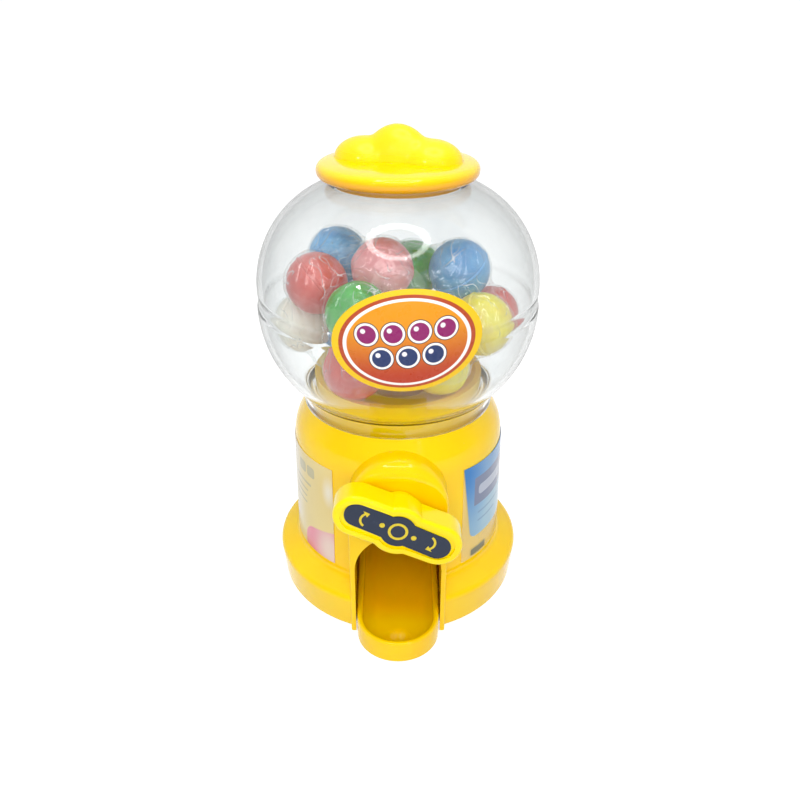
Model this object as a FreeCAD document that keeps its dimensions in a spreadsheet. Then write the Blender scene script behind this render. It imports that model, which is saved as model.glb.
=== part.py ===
import FreeCAD, Part
import math
import os
import Sketcher

# Toy gumball machine, about 13 cm tall, in millimetres.
# Origin on the globe's axis at the surface that the base stands on, +Z up, front towards -Y.

# Driving sizes. A height is measured from the standing surface, a depth forwards from the axis.
SIZES = {
    # pedestal: rim, sloping flange, label wall, shoulder and the collar that holds the globe
    "flange_reach": 5.9,
    "foot_step": 1.1,
    "rim_height": 10.8,
    "rim_round": 1.8,
    "foot_round": 1.0,
    "flange_rise": 2.8,
    "flange_blend": 2.0,
    "case_room": 1.68,
    "wall_draft": 0.7,
    "shoulder_rise": 0.4,
    "shoulder_round": 15.0,
    "collar_step": 3.5,
    "collar_rise": 7.4,
    "collar_round": 0.5,
    "collar_wall": 0.9,
    "ledge_drop": 10.0,
    "shell": 1.7,
    # arched front housing, with the chute's mouth below and the knob's bearing above
    "housing_reach": 4.1,
    "housing_wall": 1.4,
    "housing_round": 0.6,
    "hood_round": 5.0,
    "mouth_spring_height": 21.6,
    "bearing_radius": 6.0,
    "bearing_length": 5.2,
    # knob, its drive shaft and its face plate
    "axis_height": 42.6,
    "shaft_radius": 3.5,
    "running_gap": 0.06,
    "hub_gap": 0.3,
    "knob_stand": 2.7,
    "knob_depth": 7.6,
    "knob_half_length": 17.2,
    "knob_half_width": 6.05,
    "knob_bulge_radius": 7.2,
    "knob_round": 1.0,
    "knob_hub_radius": 5.6,
    "knob_turn": 24.0,
    "knob_rim": 1.9,
    "plate_inset": 0.7,
    "plate_thickness": 0.25,
    "plate_gap": 0.75,
    "plate_turn": 27.0,
    "drive_width": 4.6,
    "drive_length": 4.2,
    "drive_gap": 0.05,
    # dispensing drum, with a pocket for one gumball, and its split housing
    "ball_diameter": 16.0,
    "pocket_gap": 0.8,
    "drum_wall": 1.6,
    "drum_skin": 1.4,
    "drum_gap": 0.4,
    "drum_end_gap": 0.3,
    "drum_housing_wall": 1.6,
    "trunnion_length": 2.6,
    "flange_width": 5.2,
    "cradle_flange": 2.4,
    "hopper_flange": 4.0,
    # hopper: the funnel floor of the globe
    "hopper_slope_rise": 5.3,
    "hopper_skin": 1.6,
    "hopper_gap": 0.4,
    "hopper_foot_width": 3.3,
    # globe: a clear bowl and a clear dome that meet in a shallow waist
    "globe_room": 1.9,
    "globe_wall": 1.4,
    "globe_belly": 28.6,
    "globe_band_height": 4.8,
    "globe_band_taper": 0.2,
    "globe_dome": 28.0,
    "seam_waist": 0.4,
    "tongue_height": 1.6,
    "tongue_wall": 0.6,
    "tongue_gap": 0.1,
    "neck_step": 0.2,
    "neck_length": 4.1,
    "neck_blend": 2.6,
    "spigot_gap": 0.2,
    "spigot_wall": 1.2,
    "spigot_length": 6.6,
    "mouth_radius": 16.2,
    "mouth_wall": 1.5,
    "mouth_lip": 1.23,
    # lid: rimmed disc with a plug below and a winged grip on top
    "lid_overhang": 2.9,
    "lid_seat_gap": 0.2,
    "lid_thickness": 3.4,
    "lid_round": 1.5,
    "lid_skin": 1.8,
    "lid_crown": 0.7,
    "plug_gap": 0.35,
    "plug_wall": 1.6,
    "plug_length": 1.8,
    "grip_lobe_reach": 8.6,
    "grip_lobe_length": 8.0,
    "grip_lobe_width": 6.3,
    "grip_lobe_height": 5.7,
    "grip_dome_length": 8.2,
    "grip_dome_width": 5.2,
    "grip_dome_height": 9.0,
    "grip_turn": 15.0,
    # tray: a trough that slopes from under the drum to a round dish in front
    "tray_room": 1.9,
    "tray_gap": 0.4,
    "tray_wall": 1.5,
    "tray_front_length": 11.9,
    "tray_rim_height": 6.6,
    "tray_floor_height": 2.2,
    "tray_lift": 0.3,
    "tray_corner": 2.4,
    "tray_rim_round": 0.6,
    "dish_level": 5.2,
    "tray_ramp_rise": 6.0,
    "tray_back_room": 0.9,
    # cover that closes the base from below, and the screws
    "cover_thickness": 2.2,
    "cover_gap": 0.4,
    "cover_notch_depth": 20.0,
    "cover_notch_gap": 0.4,
    "boss_radius": 2.9,
    "boss_inset": 5.7,
    "boss_height": 11.0,
    "screw_radius": 1.2,
    "screw_gap": 0.3,
    "screw_head_radius": 2.3,
    "screw_head_height": 1.0,
    "recess_length": 2.6,
    "recess_width": 0.7,
    "recess_depth": 0.6,
    "screw_sink": 0.3,
    "screw_grip": 4.2,
    "cradle_screw_inset": 4.1,
    "tray_screw_reach": 6.0,
    # printed films on the globe and on the pedestal's wall
    "film": 0.15,
    "film_gap": 0.06,
    "oval_half_width": 16.5,
    "oval_half_height": 12.4,
    "oval_lift": 5.2,
    "oval_shift": 3.2,
    "oval_tilt": 4.0,
    "label_foot_margin": 2.6,
    "label_head_margin": 4.0,
    "label_start": 36.0,
    "label_sweep": 94.0,
}

COVER_SCREWS = 3

# Gumball centres, counted in gumball diameters from the middle of the hopper's throat.
GUMBALLS = {
    "red": [(-1.31, -0.44, 2.06), (1.59, 0.03, 1.31), (-0.69, -1.10, 0.84)],
    "blue": [(1.00, -0.25, 2.22), (-1.03, 0.51, 2.22), (-0.81, 0.56, 0.72)],
    "green": [(-0.62, -1.25, 1.85), (0.25, 0.62, 1.94)],
    "yellow": [(1.31, -0.94, 1.56), (0.69, -0.78, 0.75)],
    "pink": [(-0.25, -0.40, 2.29), (0.62, 0.87, 0.76)],
    "white": [(-1.65, 0.0, 1.19), (0.06, -0.19, 1.31)],
}

X_AXIS = FreeCAD.Vector(1, 0, 0)
Y_AXIS = FreeCAD.Vector(0, 1, 0)
Z_AXIS = FreeCAD.Vector(0, 0, 1)

doc = FreeCAD.newDocument("gumball_machine")
sheet = doc.addObject("Spreadsheet::Sheet", "sizes")


class Size:
    """A length or angle that carries its value and the spreadsheet expression behind it."""

    def __init__(self, value, text):
        self.value = float(value)
        self.text = text

    def __add__(self, other):
        other = as_size(other)
        return Size(self.value + other.value, f"({self.text} + {other.text})")

    def __sub__(self, other):
        other = as_size(other)
        return Size(self.value - other.value, f"({self.text} - {other.text})")

    def __mul__(self, other):
        other = as_size(other)
        return Size(self.value * other.value, f"({self.text} * {other.text})")

    def __truediv__(self, other):
        other = as_size(other)
        return Size(self.value / other.value, f"({self.text} / {other.text})")

    def __rsub__(self, other):
        return as_size(other) - self

    def __radd__(self, other):
        return as_size(other) + self

    def __rmul__(self, other):
        return as_size(other) * self

    def __neg__(self):
        return Size(-self.value, f"(-1 * {self.text})")


def as_size(item):
    return item if isinstance(item, Size) else Size(item, f"({float(item)})")


def leg(hypotenuse, other_leg):
    """The second leg of a right triangle."""
    return root(hypotenuse * hypotenuse - other_leg * other_leg)


def root(square):
    return Size(math.sqrt(square.value), f"sqrt({square.text})")


class Sizes:
    """The driving sizes, read as attributes."""


d = Sizes()
for row, (alias, number) in enumerate(SIZES.items(), start=1):
    sheet.set(f"A{row}", alias)
    sheet.set(f"B{row}", str(number))
    sheet.setAlias(f"B{row}", alias)
    setattr(d, alias, Size(number, f"sizes.{alias}"))
doc.recompute()


# Helpers

def bind(item, prop, size):
    """Tie one property of an object to the sheet."""
    item.setExpression(prop, as_size(size).text)


def new_body(label):
    body = doc.addObject("PartDesign::Body", label)
    body.Label = label
    return body


def place(item, lift=0.0, axis=Z_AXIS, turn=0.0):
    """Stand an object at a height, turned about an axis through its own origin."""
    lift = as_size(lift)
    turn = as_size(turn)
    item.Placement = FreeCAD.Placement(FreeCAD.Vector(0, 0, lift.value), FreeCAD.Rotation(axis, turn.value))
    bind(item, ".Placement.Base.z", lift)
    bind(item, ".Placement.Rotation.Angle", turn)


def sketch_on(body, name, role, offset=0.0, turn=0.0):
    """A sketch on an origin plane of its body, moved along the plane's normal and turned about it.

    XY_Plane looks up, YZ_Plane looks towards +X and XZ_Plane looks to the front, -Y.
    """
    sketch = body.newObject("Sketcher::SketchObject", name)
    plane = next(item for item in body.Origin.OriginFeatures if item.Role == role)
    sketch.AttachmentSupport = (plane, [""])
    sketch.MapMode = "FlatFace"
    sketch.AttachmentOffset = FreeCAD.Placement(FreeCAD.Vector(), FreeCAD.Rotation(Z_AXIS, as_size(turn).value))
    bind(sketch, ".AttachmentOffset.Base.z", offset)
    bind(sketch, ".AttachmentOffset.Rotation.Angle", turn)
    return sketch


def arc_between(start, end, radius, turn):
    """The short arc from start to end, turning left (1) or right (-1)."""
    chord = end - start
    half = chord.Length / 2
    to_centre = FreeCAD.Vector(-chord.y, chord.x, 0).normalize() * turn
    centre = start + chord / 2 + to_centre * math.sqrt(max(radius * radius - half * half, 0.0))
    first, last = (start, end) if turn > 0 else (end, start)
    angles = [math.atan2(point.y - centre.y, point.x - centre.x) for point in (first, last)]
    return Part.ArcOfCircle(Part.Circle(centre, Z_AXIS, radius), *angles)


def fix_point(sketch, curve, end, corner):
    """Hold one end of a curve at a corner given from the sketch's origin."""
    for kind, axis_line, size in (("DistanceX", -2, corner[0]), ("DistanceY", -1, corner[1])):
        size = as_size(size)
        if abs(size.value) < 1e-9:
            sketch.addConstraint(Sketcher.Constraint("PointOnObject", curve, end, axis_line))
        else:
            held = sketch.addConstraint(Sketcher.Constraint(kind, -1, 1, curve, end, size.value))
            bind(sketch, f"Constraints[{held}]", size)


def round_off(before, corner, after, radius):
    """Two corners and the arc between them that replace a sharp corner between straight lines."""
    ways = []
    for other in (before, after):
        way = [as_size(other[axis]) - corner[axis] for axis in (0, 1)]
        length = root(way[0] * way[0] + way[1] * way[1])
        ways.append([way[0] / length, way[1] / length])
    first, last = ways
    bend = first[0] * last[0] + first[1] * last[1]
    reach = radius * root((1 + bend) / (1 - bend))
    turn = 1 if first[0].value * last[1].value < first[1].value * last[0].value else -1
    start = [as_size(corner[axis]) + first[axis] * reach for axis in (0, 1)]
    end = [as_size(corner[axis]) + last[axis] * reach for axis in (0, 1)]
    return [(start[0], start[1], radius, turn), (end[0], end[1])]


def outline(sketch, sharp_corners):
    """A closed outline of lines and arcs.

    A corner is (u, v), or (u, v, radius) where it is rounded off, or (u, v, radius, turn) where an
    arc follows it.
    """
    corners = []
    for index, corner in enumerate(sharp_corners):
        if len(corner) == 3:
            after = sharp_corners[(index + 1) % len(sharp_corners)]
            corners += round_off(sharp_corners[index - 1], corner, after, corner[2])
        else:
            corners.append(corner)
    points = [FreeCAD.Vector(as_size(c[0]).value, as_size(c[1]).value, 0) for c in corners]
    ends = []
    for index, corner in enumerate(corners):
        start = points[index]
        end = points[(index + 1) % len(points)]
        if len(corner) == 2:
            curve = sketch.addGeometry(Part.LineSegment(start, end), False)
            ends.append((curve, 1, 2))
        else:
            radius = as_size(corner[2])
            curve = sketch.addGeometry(arc_between(start, end, radius.value, corner[3]), False)
            held = sketch.addConstraint(Sketcher.Constraint("Radius", curve, radius.value))
            bind(sketch, f"Constraints[{held}]", radius)
            ends.append((curve, 1, 2) if corner[3] > 0 else (curve, 2, 1))
    for index, (curve, first, last) in enumerate(ends):
        after, after_first, after_last = ends[(index + 1) % len(ends)]
        sketch.addConstraint(Sketcher.Constraint("Coincident", curve, last, after, after_first))
        fix_point(sketch, curve, first, corners[index])


def circles(sketch, places):
    """Full circles, each given as (u, v, radius)."""
    for u, v, radius in places:
        radius = as_size(radius)
        centre = FreeCAD.Vector(as_size(u).value, as_size(v).value, 0)
        curve = sketch.addGeometry(Part.Circle(centre, Z_AXIS, radius.value), False)
        held = sketch.addConstraint(Sketcher.Constraint("Radius", curve, radius.value))
        bind(sketch, f"Constraints[{held}]", radius)
        fix_point(sketch, curve, 3, (u, v))


def box_outline(sketch, low_u, high_u, low_v, high_v):
    outline(sketch, [(low_u, low_v), (high_u, low_v), (high_u, high_v), (low_u, high_v)])


def feature(body, kind, name, sketch, length=None, reverse=False):
    """A Pad or Pocket of a sketch: a Pad follows the plane's normal, a Pocket goes against it."""
    item = body.newObject(f"PartDesign::{kind}", name)
    item.Profile = sketch
    item.Reversed = reverse
    if length is not None:
        bind(item, "Length", length)
    doc.recompute()
    return item


def turned(body, kind, name, sketch, angle=360.0, reverse=False):
    """A Revolution or Groove of a sketch about its own vertical axis."""
    item = body.newObject(f"PartDesign::{kind}", name)
    item.Profile = sketch
    item.ReferenceAxis = (sketch, ["V_Axis"])
    item.Reversed = reverse
    bind(item, "Angle", angle)
    doc.recompute()
    return item


def rounded(body, name, base, radius, wanted):
    """Fillet the edges of a feature that pass a test."""
    names = [f"Edge{i}" for i, edge in enumerate(base.Shape.Edges, start=1) if wanted(edge)]
    item = body.newObject("PartDesign::Fillet", name)
    item.Base = (base, names)
    bind(item, "Radius", radius)
    doc.recompute()
    return item


def ring_at(*rings):
    """A test for round edges about the axis at given radii and heights."""
    def wanted(edge):
        curve = edge.Curve
        if not isinstance(curve, Part.Circle):
            return False
        return any(abs(curve.Radius - as_size(radius).value) < 0.02
                   and abs(curve.Center.z - as_size(height).value) < 0.02 for radius, height in rings)
    return wanted


def facing(axis, level):
    """A test for edges that lie in one plane, x, y or z at a level."""
    level = as_size(level).value

    def wanted(edge):
        box = edge.BoundBox
        low, high = getattr(box, f"{axis}Min"), getattr(box, f"{axis}Max")
        return abs(low - level) < 0.01 and abs(high - level) < 0.01
    return wanted


def bow_tie(sketch, half_length, half_width, bulge_radius):
    """A bar with round ends and a round bulge in the middle."""
    straight = half_length - half_width
    waist = leg(bulge_radius, half_width)
    outline(sketch, [
        (-straight, -half_width),
        (-waist, -half_width, bulge_radius, 1),
        (waist, -half_width),
        (straight, -half_width, half_width, 1),
        (half_length, 0, half_width, 1),
        (straight, half_width),
        (waist, half_width, bulge_radius, 1),
        (-waist, half_width),
        (-straight, half_width, half_width, 1),
        (-half_length, 0, half_width, 1),
    ])


# Sizes that several pieces share

PILE_REACH = max(math.hypot(x, y) for balls in GUMBALLS.values() for x, y, _ in balls)


def on_sheet(alias, size):
    """Give a worked-out size its own named row in the sheet, below the driving ones."""
    row = len(SIZES) + 1
    while sheet.getContents(f"A{row}"):
        row += 1
    sheet.set(f"A{row}", alias)
    sheet.set(f"B{row}", "=" + size.text.replace("sizes.", ""))
    sheet.setAlias(f"B{row}", alias)
    return Size(size.value, f"sizes.{alias}")


def round_between(inset, rise):
    """Radius of an arc that leaves a wall straight up, and is inset from it after a rise."""
    return (inset * inset + rise * rise) / (inset * 2)


# the drum and its housing, round one gumball
shaft_bore = on_sheet("shaft_bore", d.shaft_radius + d.running_gap)
pocket_radius = on_sheet("pocket_radius", d.ball_diameter / 2 + d.pocket_gap)
drum_radius = on_sheet("drum_radius", d.ball_diameter + d.pocket_gap / 2)
drum_half = on_sheet("drum_half", pocket_radius + d.drum_skin)
drum_room = on_sheet("drum_room", drum_radius + d.drum_gap)
drum_room_half = on_sheet("drum_room_half", drum_half + d.drum_end_gap)
drum_case = on_sheet("drum_case", drum_room + d.drum_housing_wall)
drum_case_half = on_sheet("drum_case_half", drum_room_half + d.drum_housing_wall)
drum_case_edge = on_sheet("drum_case_edge", drum_case + d.flange_width)
cradle_screw_reach = on_sheet("cradle_screw_reach", drum_case_half - d.cradle_screw_inset)
throat_height = on_sheet("throat_height", d.axis_height + drum_case)
# the pedestal, round the drum's housing
ledge_height = on_sheet("ledge_height", throat_height - d.ledge_drop)
shoulder_height = on_sheet("shoulder_height", ledge_height + d.shoulder_rise)
collar_height = on_sheet("collar_height", ledge_height + d.collar_rise)
drum_case_corner = on_sheet("drum_case_corner", root(drum_case_edge * drum_case_edge + drum_case_half * drum_case_half))
body_top_radius = on_sheet("body_top_radius", drum_case_corner + d.case_room + d.shell)
body_radius = on_sheet("body_radius", body_top_radius + d.wall_draft)
base_radius = on_sheet("base_radius", body_radius + d.flange_reach)
base_foot_radius = on_sheet("base_foot_radius", base_radius - d.foot_step)
flange_height = on_sheet("flange_height", d.rim_height + d.flange_rise)
collar_radius = on_sheet("collar_radius", body_top_radius - d.collar_step)
collar_bore = on_sheet("collar_bore", collar_radius - d.collar_wall)
boss_circle = on_sheet("boss_circle", base_radius - d.boss_inset)
cover_top = on_sheet("cover_top", d.cover_thickness)
cover_seat = on_sheet("cover_seat", d.screw_head_height + d.screw_sink)
# the tray, and the arched housing over it
tray_inner = on_sheet("tray_inner", d.ball_diameter / 2 + d.tray_room)
tray_half_width = on_sheet("tray_half_width", tray_inner + d.tray_wall)
tray_back = on_sheet("tray_back", drum_case_half + d.tray_back_room)
housing_inner = on_sheet("housing_inner", tray_half_width + d.tray_gap)
housing_half_width = on_sheet("housing_half_width", housing_inner + d.housing_wall)
housing_front = on_sheet("housing_front", body_radius + d.housing_reach)
housing_back = on_sheet("housing_back", housing_front - d.shell)
dish_centre = on_sheet("dish_centre", housing_front + d.tray_front_length - tray_half_width)
tray_ramp_start = on_sheet("tray_ramp_start", dish_centre - d.dish_level)
# the knob and its plate
knob_back = on_sheet("knob_back", housing_front + d.knob_stand)
knob_front = on_sheet("knob_front", knob_back + d.knob_depth)
recess_floor = on_sheet("recess_floor", knob_front - d.plate_inset)
hub_end = on_sheet("hub_end", housing_front + d.hub_gap)
shaft_end = on_sheet("shaft_end", knob_back)
drive_end = on_sheet("drive_end", shaft_end + d.drive_length)
plate_margin = on_sheet("plate_margin", d.knob_rim + d.plate_gap)
plate_half_length = on_sheet("plate_half_length", d.knob_half_length - plate_margin)
plate_half_width = on_sheet("plate_half_width", d.knob_half_width - plate_margin)
plate_bulge_radius = on_sheet("plate_bulge_radius", d.knob_bulge_radius - plate_margin)
# the globe, round the pile of gumballs
spigot_radius = on_sheet("spigot_radius", collar_bore - d.spigot_gap)
spigot_bore = on_sheet("spigot_bore", spigot_radius - d.spigot_wall)
hopper_radius = on_sheet("hopper_radius", spigot_bore - d.hopper_gap)
hopper_rim_height = on_sheet("hopper_rim_height", throat_height + d.hopper_slope_rise)
neck_radius = on_sheet("neck_radius", collar_radius + d.neck_step)
neck_height = on_sheet("neck_height", collar_height + d.neck_length)
globe_radius = on_sheet("globe_radius", d.ball_diameter * (PILE_REACH + 0.5) + d.globe_room + d.globe_wall)
globe_low_height = on_sheet("globe_low_height", collar_height + d.globe_belly)
globe_high_height = on_sheet("globe_high_height", globe_low_height + d.globe_band_height)
globe_band = on_sheet("globe_band", globe_radius - d.globe_band_taper)
mouth_height = on_sheet("mouth_height", globe_high_height + d.globe_dome)
mouth_outside = on_sheet("mouth_outside", d.mouth_radius + d.mouth_wall)
globe_low_round = on_sheet("globe_low_round", round_between(globe_radius - neck_radius, globe_low_height - neck_height))
globe_high_round = on_sheet("globe_high_round", round_between(globe_band - mouth_outside, d.globe_dome - d.mouth_lip))
globe_low_centre = on_sheet("globe_low_centre", globe_radius - globe_low_round)
globe_high_centre = on_sheet("globe_high_centre", globe_band - globe_high_round)
seam_height = on_sheet("seam_height", globe_low_height + d.globe_band_height / 2)
waist_radius = on_sheet("waist_radius", globe_band - d.seam_waist)
tongue_radius = on_sheet("tongue_radius", waist_radius - d.globe_wall + d.tongue_wall)
oval_height = on_sheet("oval_height", globe_low_height + d.oval_lift)
lid_bottom = on_sheet("lid_bottom", mouth_height + d.lid_seat_gap)
lid_top = on_sheet("lid_top", lid_bottom + d.lid_thickness)
lid_radius = on_sheet("lid_radius", mouth_outside + d.lid_overhang)
# the printed films on the wall
label_low = on_sheet("label_low", flange_height + d.label_foot_margin)
label_high = on_sheet("label_high", shoulder_height - d.label_head_margin)


def wall_radius(height):
    """Radius of the pedestal's tapering label wall at a height."""
    share = (height - flange_height) / (shoulder_height - flange_height)
    return body_radius + (body_top_radius - body_radius) * share


# The pieces that stay still

def make_pedestal():
    """Yellow shell: rim, flange, label wall, shoulder, collar and the arched front housing."""
    body = new_body("pedestal")
    outside = sketch_on(body, "pedestal_outside", "XZ_Plane")
    outline(outside, [
        (0, 0),
        (base_foot_radius, 0, d.foot_round),
        (base_radius, d.rim_height, d.rim_round),
        (body_radius, flange_height, d.flange_blend),
        (body_top_radius, shoulder_height, d.shoulder_round),
        (collar_radius, collar_height, d.collar_round),
        (0, collar_height),
    ])
    turned(body, "Revolution", "pedestal_solid", outside)
    front = body.newObject("PartDesign::Boolean", "pedestal_front")
    front.Type = "Fuse"
    front.addObject(make_housing_block())
    doc.recompute()

    inside = sketch_on(body, "pedestal_inside", "XZ_Plane")
    outline(inside, [
        (0, 0),
        (base_foot_radius - d.shell, 0),
        (base_radius - d.shell, d.rim_height - d.shell),
        (body_radius - d.shell, flange_height - d.shell),
        (body_top_radius - d.shell, ledge_height),
        (collar_bore, ledge_height),
        (collar_bore, collar_height),
        (0, collar_height),
    ])
    turned(body, "Groove", "pedestal_hollow", inside)
    tunnel = sketch_on(body, "housing_tunnel", "XZ_Plane", housing_back)
    arched(tunnel, housing_inner, 0, ledge_height - d.shell - housing_inner)
    feature(body, "Pocket", "housing_hollow", tunnel, housing_front - housing_half_width)
    mouth = sketch_on(body, "chute_mouth", "XZ_Plane", base_radius)
    arched(mouth, housing_inner, 0, d.mouth_spring_height)
    feature(body, "Pocket", "chute_mouth_cut", mouth, base_radius - housing_back + d.shell)

    bearing = sketch_on(body, "knob_bearing", "XZ_Plane", housing_back)
    circles(bearing, [(0, d.axis_height, d.bearing_radius)])
    feature(body, "Pad", "knob_bearing_boss", bearing, d.bearing_length, True)
    bore = sketch_on(body, "knob_bore", "XZ_Plane", housing_front)
    circles(bore, [(0, d.axis_height, shaft_bore)])
    feature(body, "Pocket", "knob_bore_cut", bore, d.shell + d.bearing_length)

    for name, radius in (("boss", d.boss_radius), ("pilot", d.screw_radius)):
        sketch = sketch_on(body, f"cover_{name}", "XY_Plane", cover_top)
        circles(sketch, [(x, y, radius) for x, y in cover_screw_places()])
        kind = "Pad" if name == "boss" else "Pocket"
        feature(body, kind, f"cover_{name}_{kind.lower()}", sketch, d.boss_height - cover_top, name == "pilot")
    return body


def make_housing_block():
    """Solid arched block of the front housing, with its front edge rounded."""
    body = new_body("housing_block")
    arch = sketch_on(body, "housing_arch", "XZ_Plane", housing_front)
    arched(arch, housing_half_width, 0, d.axis_height)
    feature(body, "Pad", "housing_solid", arch, housing_front - housing_half_width, True)
    front = facing("Y", -housing_front)
    softened = doc.addObject("Part::Fillet", "hood_rounding")
    softened.Base = body
    softened.Edges = [(index, *[hood_round_at(vertex.Z) for vertex in edge.Vertexes])
                      for index, edge in enumerate(body.Shape.Edges, start=1)
                      if front(edge) and edge.BoundBox.ZLength > d.hood_round.value]
    doc.recompute()
    hood = new_body("hood_block")
    hood.BaseFeature = softened
    doc.recompute()
    return hood


def hood_round_at(height):
    """Rounding of the housing's front edge: full at the hood's crown, small from the axis down."""
    share = max(height - d.axis_height.value, 0.0) / housing_half_width.value
    return d.housing_round.value + (d.hood_round.value - d.housing_round.value) * share


def arched(sketch, half_width, foot, spring):
    """A doorway outline: straight jambs and a round head."""
    outline(sketch, [
        (-half_width, foot),
        (half_width, foot),
        (half_width, spring, half_width, 1),
        (0, spring + half_width, half_width, 1),
        (-half_width, spring),
    ])


def make_bottom_cover():
    """Disc that closes the base from below, notched for the tray, with sunk screw seats."""
    body = new_body("bottom_cover")
    rim = sketch_on(body, "cover_rim", "XY_Plane")
    circles(rim, [(0, 0, base_foot_radius - d.shell - d.cover_gap)])
    feature(body, "Pad", "cover_disc", rim, d.cover_thickness)
    half = tray_half_width + d.cover_notch_gap
    notch = sketch_on(body, "tray_notch", "XY_Plane", cover_top)
    box_outline(notch, -half, half, -base_radius, -d.cover_notch_depth)
    feature(body, "Pocket", "tray_notch_cut", notch, d.cover_thickness)
    for name, radius, depth in (("shank", d.screw_radius + d.screw_gap, d.cover_thickness),
                                ("head", d.screw_head_radius + d.screw_gap, cover_seat)):
        sketch = sketch_on(body, f"cover_{name}", "XY_Plane", depth)
        circles(sketch, [(x, y, radius) for x, y in cover_screw_places() + tray_screw_places()])
        feature(body, "Pocket", f"cover_{name}_cut", sketch, depth)
    return body


def cover_screw_places():
    """Screws of the cover, the first one at the back."""
    places = []
    for index in range(COVER_SCREWS):
        angle = math.radians(90.0 + 360.0 / COVER_SCREWS * index)
        places.append((boss_circle * round(math.cos(angle), 6), boss_circle * round(math.sin(angle), 6)))
    return places


def tray_screw_places():
    return [(d.tray_screw_reach, 0), (-d.tray_screw_reach, 0)]


def trough_section(sketch, floor, rim):
    """Cross-section of the tray: two round-topped walls on a floor with round inner corners."""
    half = tray_half_width
    outline(sketch, [
        (-half, d.tray_lift),
        (half, d.tray_lift),
        (half, rim, d.tray_rim_round),
        (tray_inner, rim, d.tray_rim_round),
        (tray_inner, floor, d.tray_corner),
        (-tray_inner, floor, d.tray_corner),
        (-tray_inner, rim, d.tray_rim_round),
        (-half, rim, d.tray_rim_round),
    ])


def make_tray():
    """Trough that catches the gumball under the drum and hands it out in a round dish."""
    body = new_body("chute_tray")
    half = tray_half_width
    floor = d.tray_floor_height
    rim = d.tray_rim_height
    dish = sketch_on(body, "dish_section", "XZ_Plane", dish_centre)
    outline(dish, [
        (0, d.tray_lift),
        (half, d.tray_lift),
        (half, rim, d.tray_rim_round),
        (tray_inner, rim, d.tray_rim_round),
        (tray_inner, floor, d.tray_corner),
        (0, floor),
    ])
    turned(body, "Revolution", "dish", dish, 180.0, True)
    level = sketch_on(body, "level_section", "XZ_Plane", dish_centre)
    trough_section(level, floor, rim)
    feature(body, "Pad", "level_trough", level, dish_centre - tray_ramp_start, True)
    low = sketch_on(body, "ramp_low_section", "XZ_Plane", tray_ramp_start)
    trough_section(low, floor, rim)
    high = sketch_on(body, "ramp_high_section", "XZ_Plane", -tray_back)
    trough_section(high, floor + d.tray_ramp_rise, rim + d.tray_ramp_rise)
    ramp = body.newObject("PartDesign::AdditiveLoft", "ramp_trough")
    ramp.Profile = low
    ramp.Sections = [high]
    ramp.Ruled = True
    doc.recompute()
    end = sketch_on(body, "tray_end", "XZ_Plane", -tray_back)
    box_outline(end, -tray_inner, tray_inner, cover_top, rim + d.tray_ramp_rise)
    feature(body, "Pad", "tray_end_wall", end, d.tray_wall)
    under = sketch_on(body, "tray_under", "YZ_Plane", half)
    box_outline(under, -(d.cover_notch_depth + d.cover_notch_gap), tray_back, d.tray_lift, cover_top)
    feature(body, "Pocket", "tray_seat", under, half * 2)
    pilots = sketch_on(body, "tray_pilots", "XY_Plane", cover_top)
    circles(pilots, [(x, y, d.screw_radius) for x, y in tray_screw_places()])
    feature(body, "Pocket", "tray_pilot_cut", pilots, d.screw_grip + cover_seat - cover_top, True)
    return body


def drum_case_block(body, name, up, flange):
    """Upper (1) or lower (-1) half of the drum's round housing, with its two screw flanges."""
    section = sketch_on(body, f"{name}_case", "XZ_Plane", drum_case_half)
    outline(section, [
        (drum_case * up, 0, drum_case, 1),
        (0, drum_case * up, drum_case, 1),
        (drum_case * -up, 0),
    ])
    feature(body, "Pad", f"{name}_half", section, drum_case_half * 2, True)
    plate = sketch_on(body, f"{name}_plate", "XZ_Plane", drum_case_half)
    edge = drum_case_edge * up
    outline(plate, [(-edge, 0), (edge, 0), (edge, flange * up), (-edge, flange * up)])
    feature(body, "Pad", f"{name}_flange", plate, drum_case_half * 2, True)


def drum_case_room(body, name):
    """The room for the drum and the bearings of its shaft, cut from a housing half."""
    room = sketch_on(body, f"{name}_room", "XZ_Plane", drum_room_half)
    circles(room, [(0, 0, drum_room)])
    feature(body, "Pocket", f"{name}_room_cut", room, drum_room_half * 2)
    bearing = sketch_on(body, f"{name}_bearing", "XZ_Plane", drum_case_half)
    circles(bearing, [(0, 0, shaft_bore)])
    feature(body, "Pocket", f"{name}_bearing_cut", bearing, drum_case_half * 2)


def flange_screw_places():
    reach_x = drum_case + d.flange_width / 2
    reach_y = cradle_screw_reach
    return [(reach_x, reach_y), (-reach_x, reach_y), (reach_x, -reach_y), (-reach_x, -reach_y)]


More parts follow.
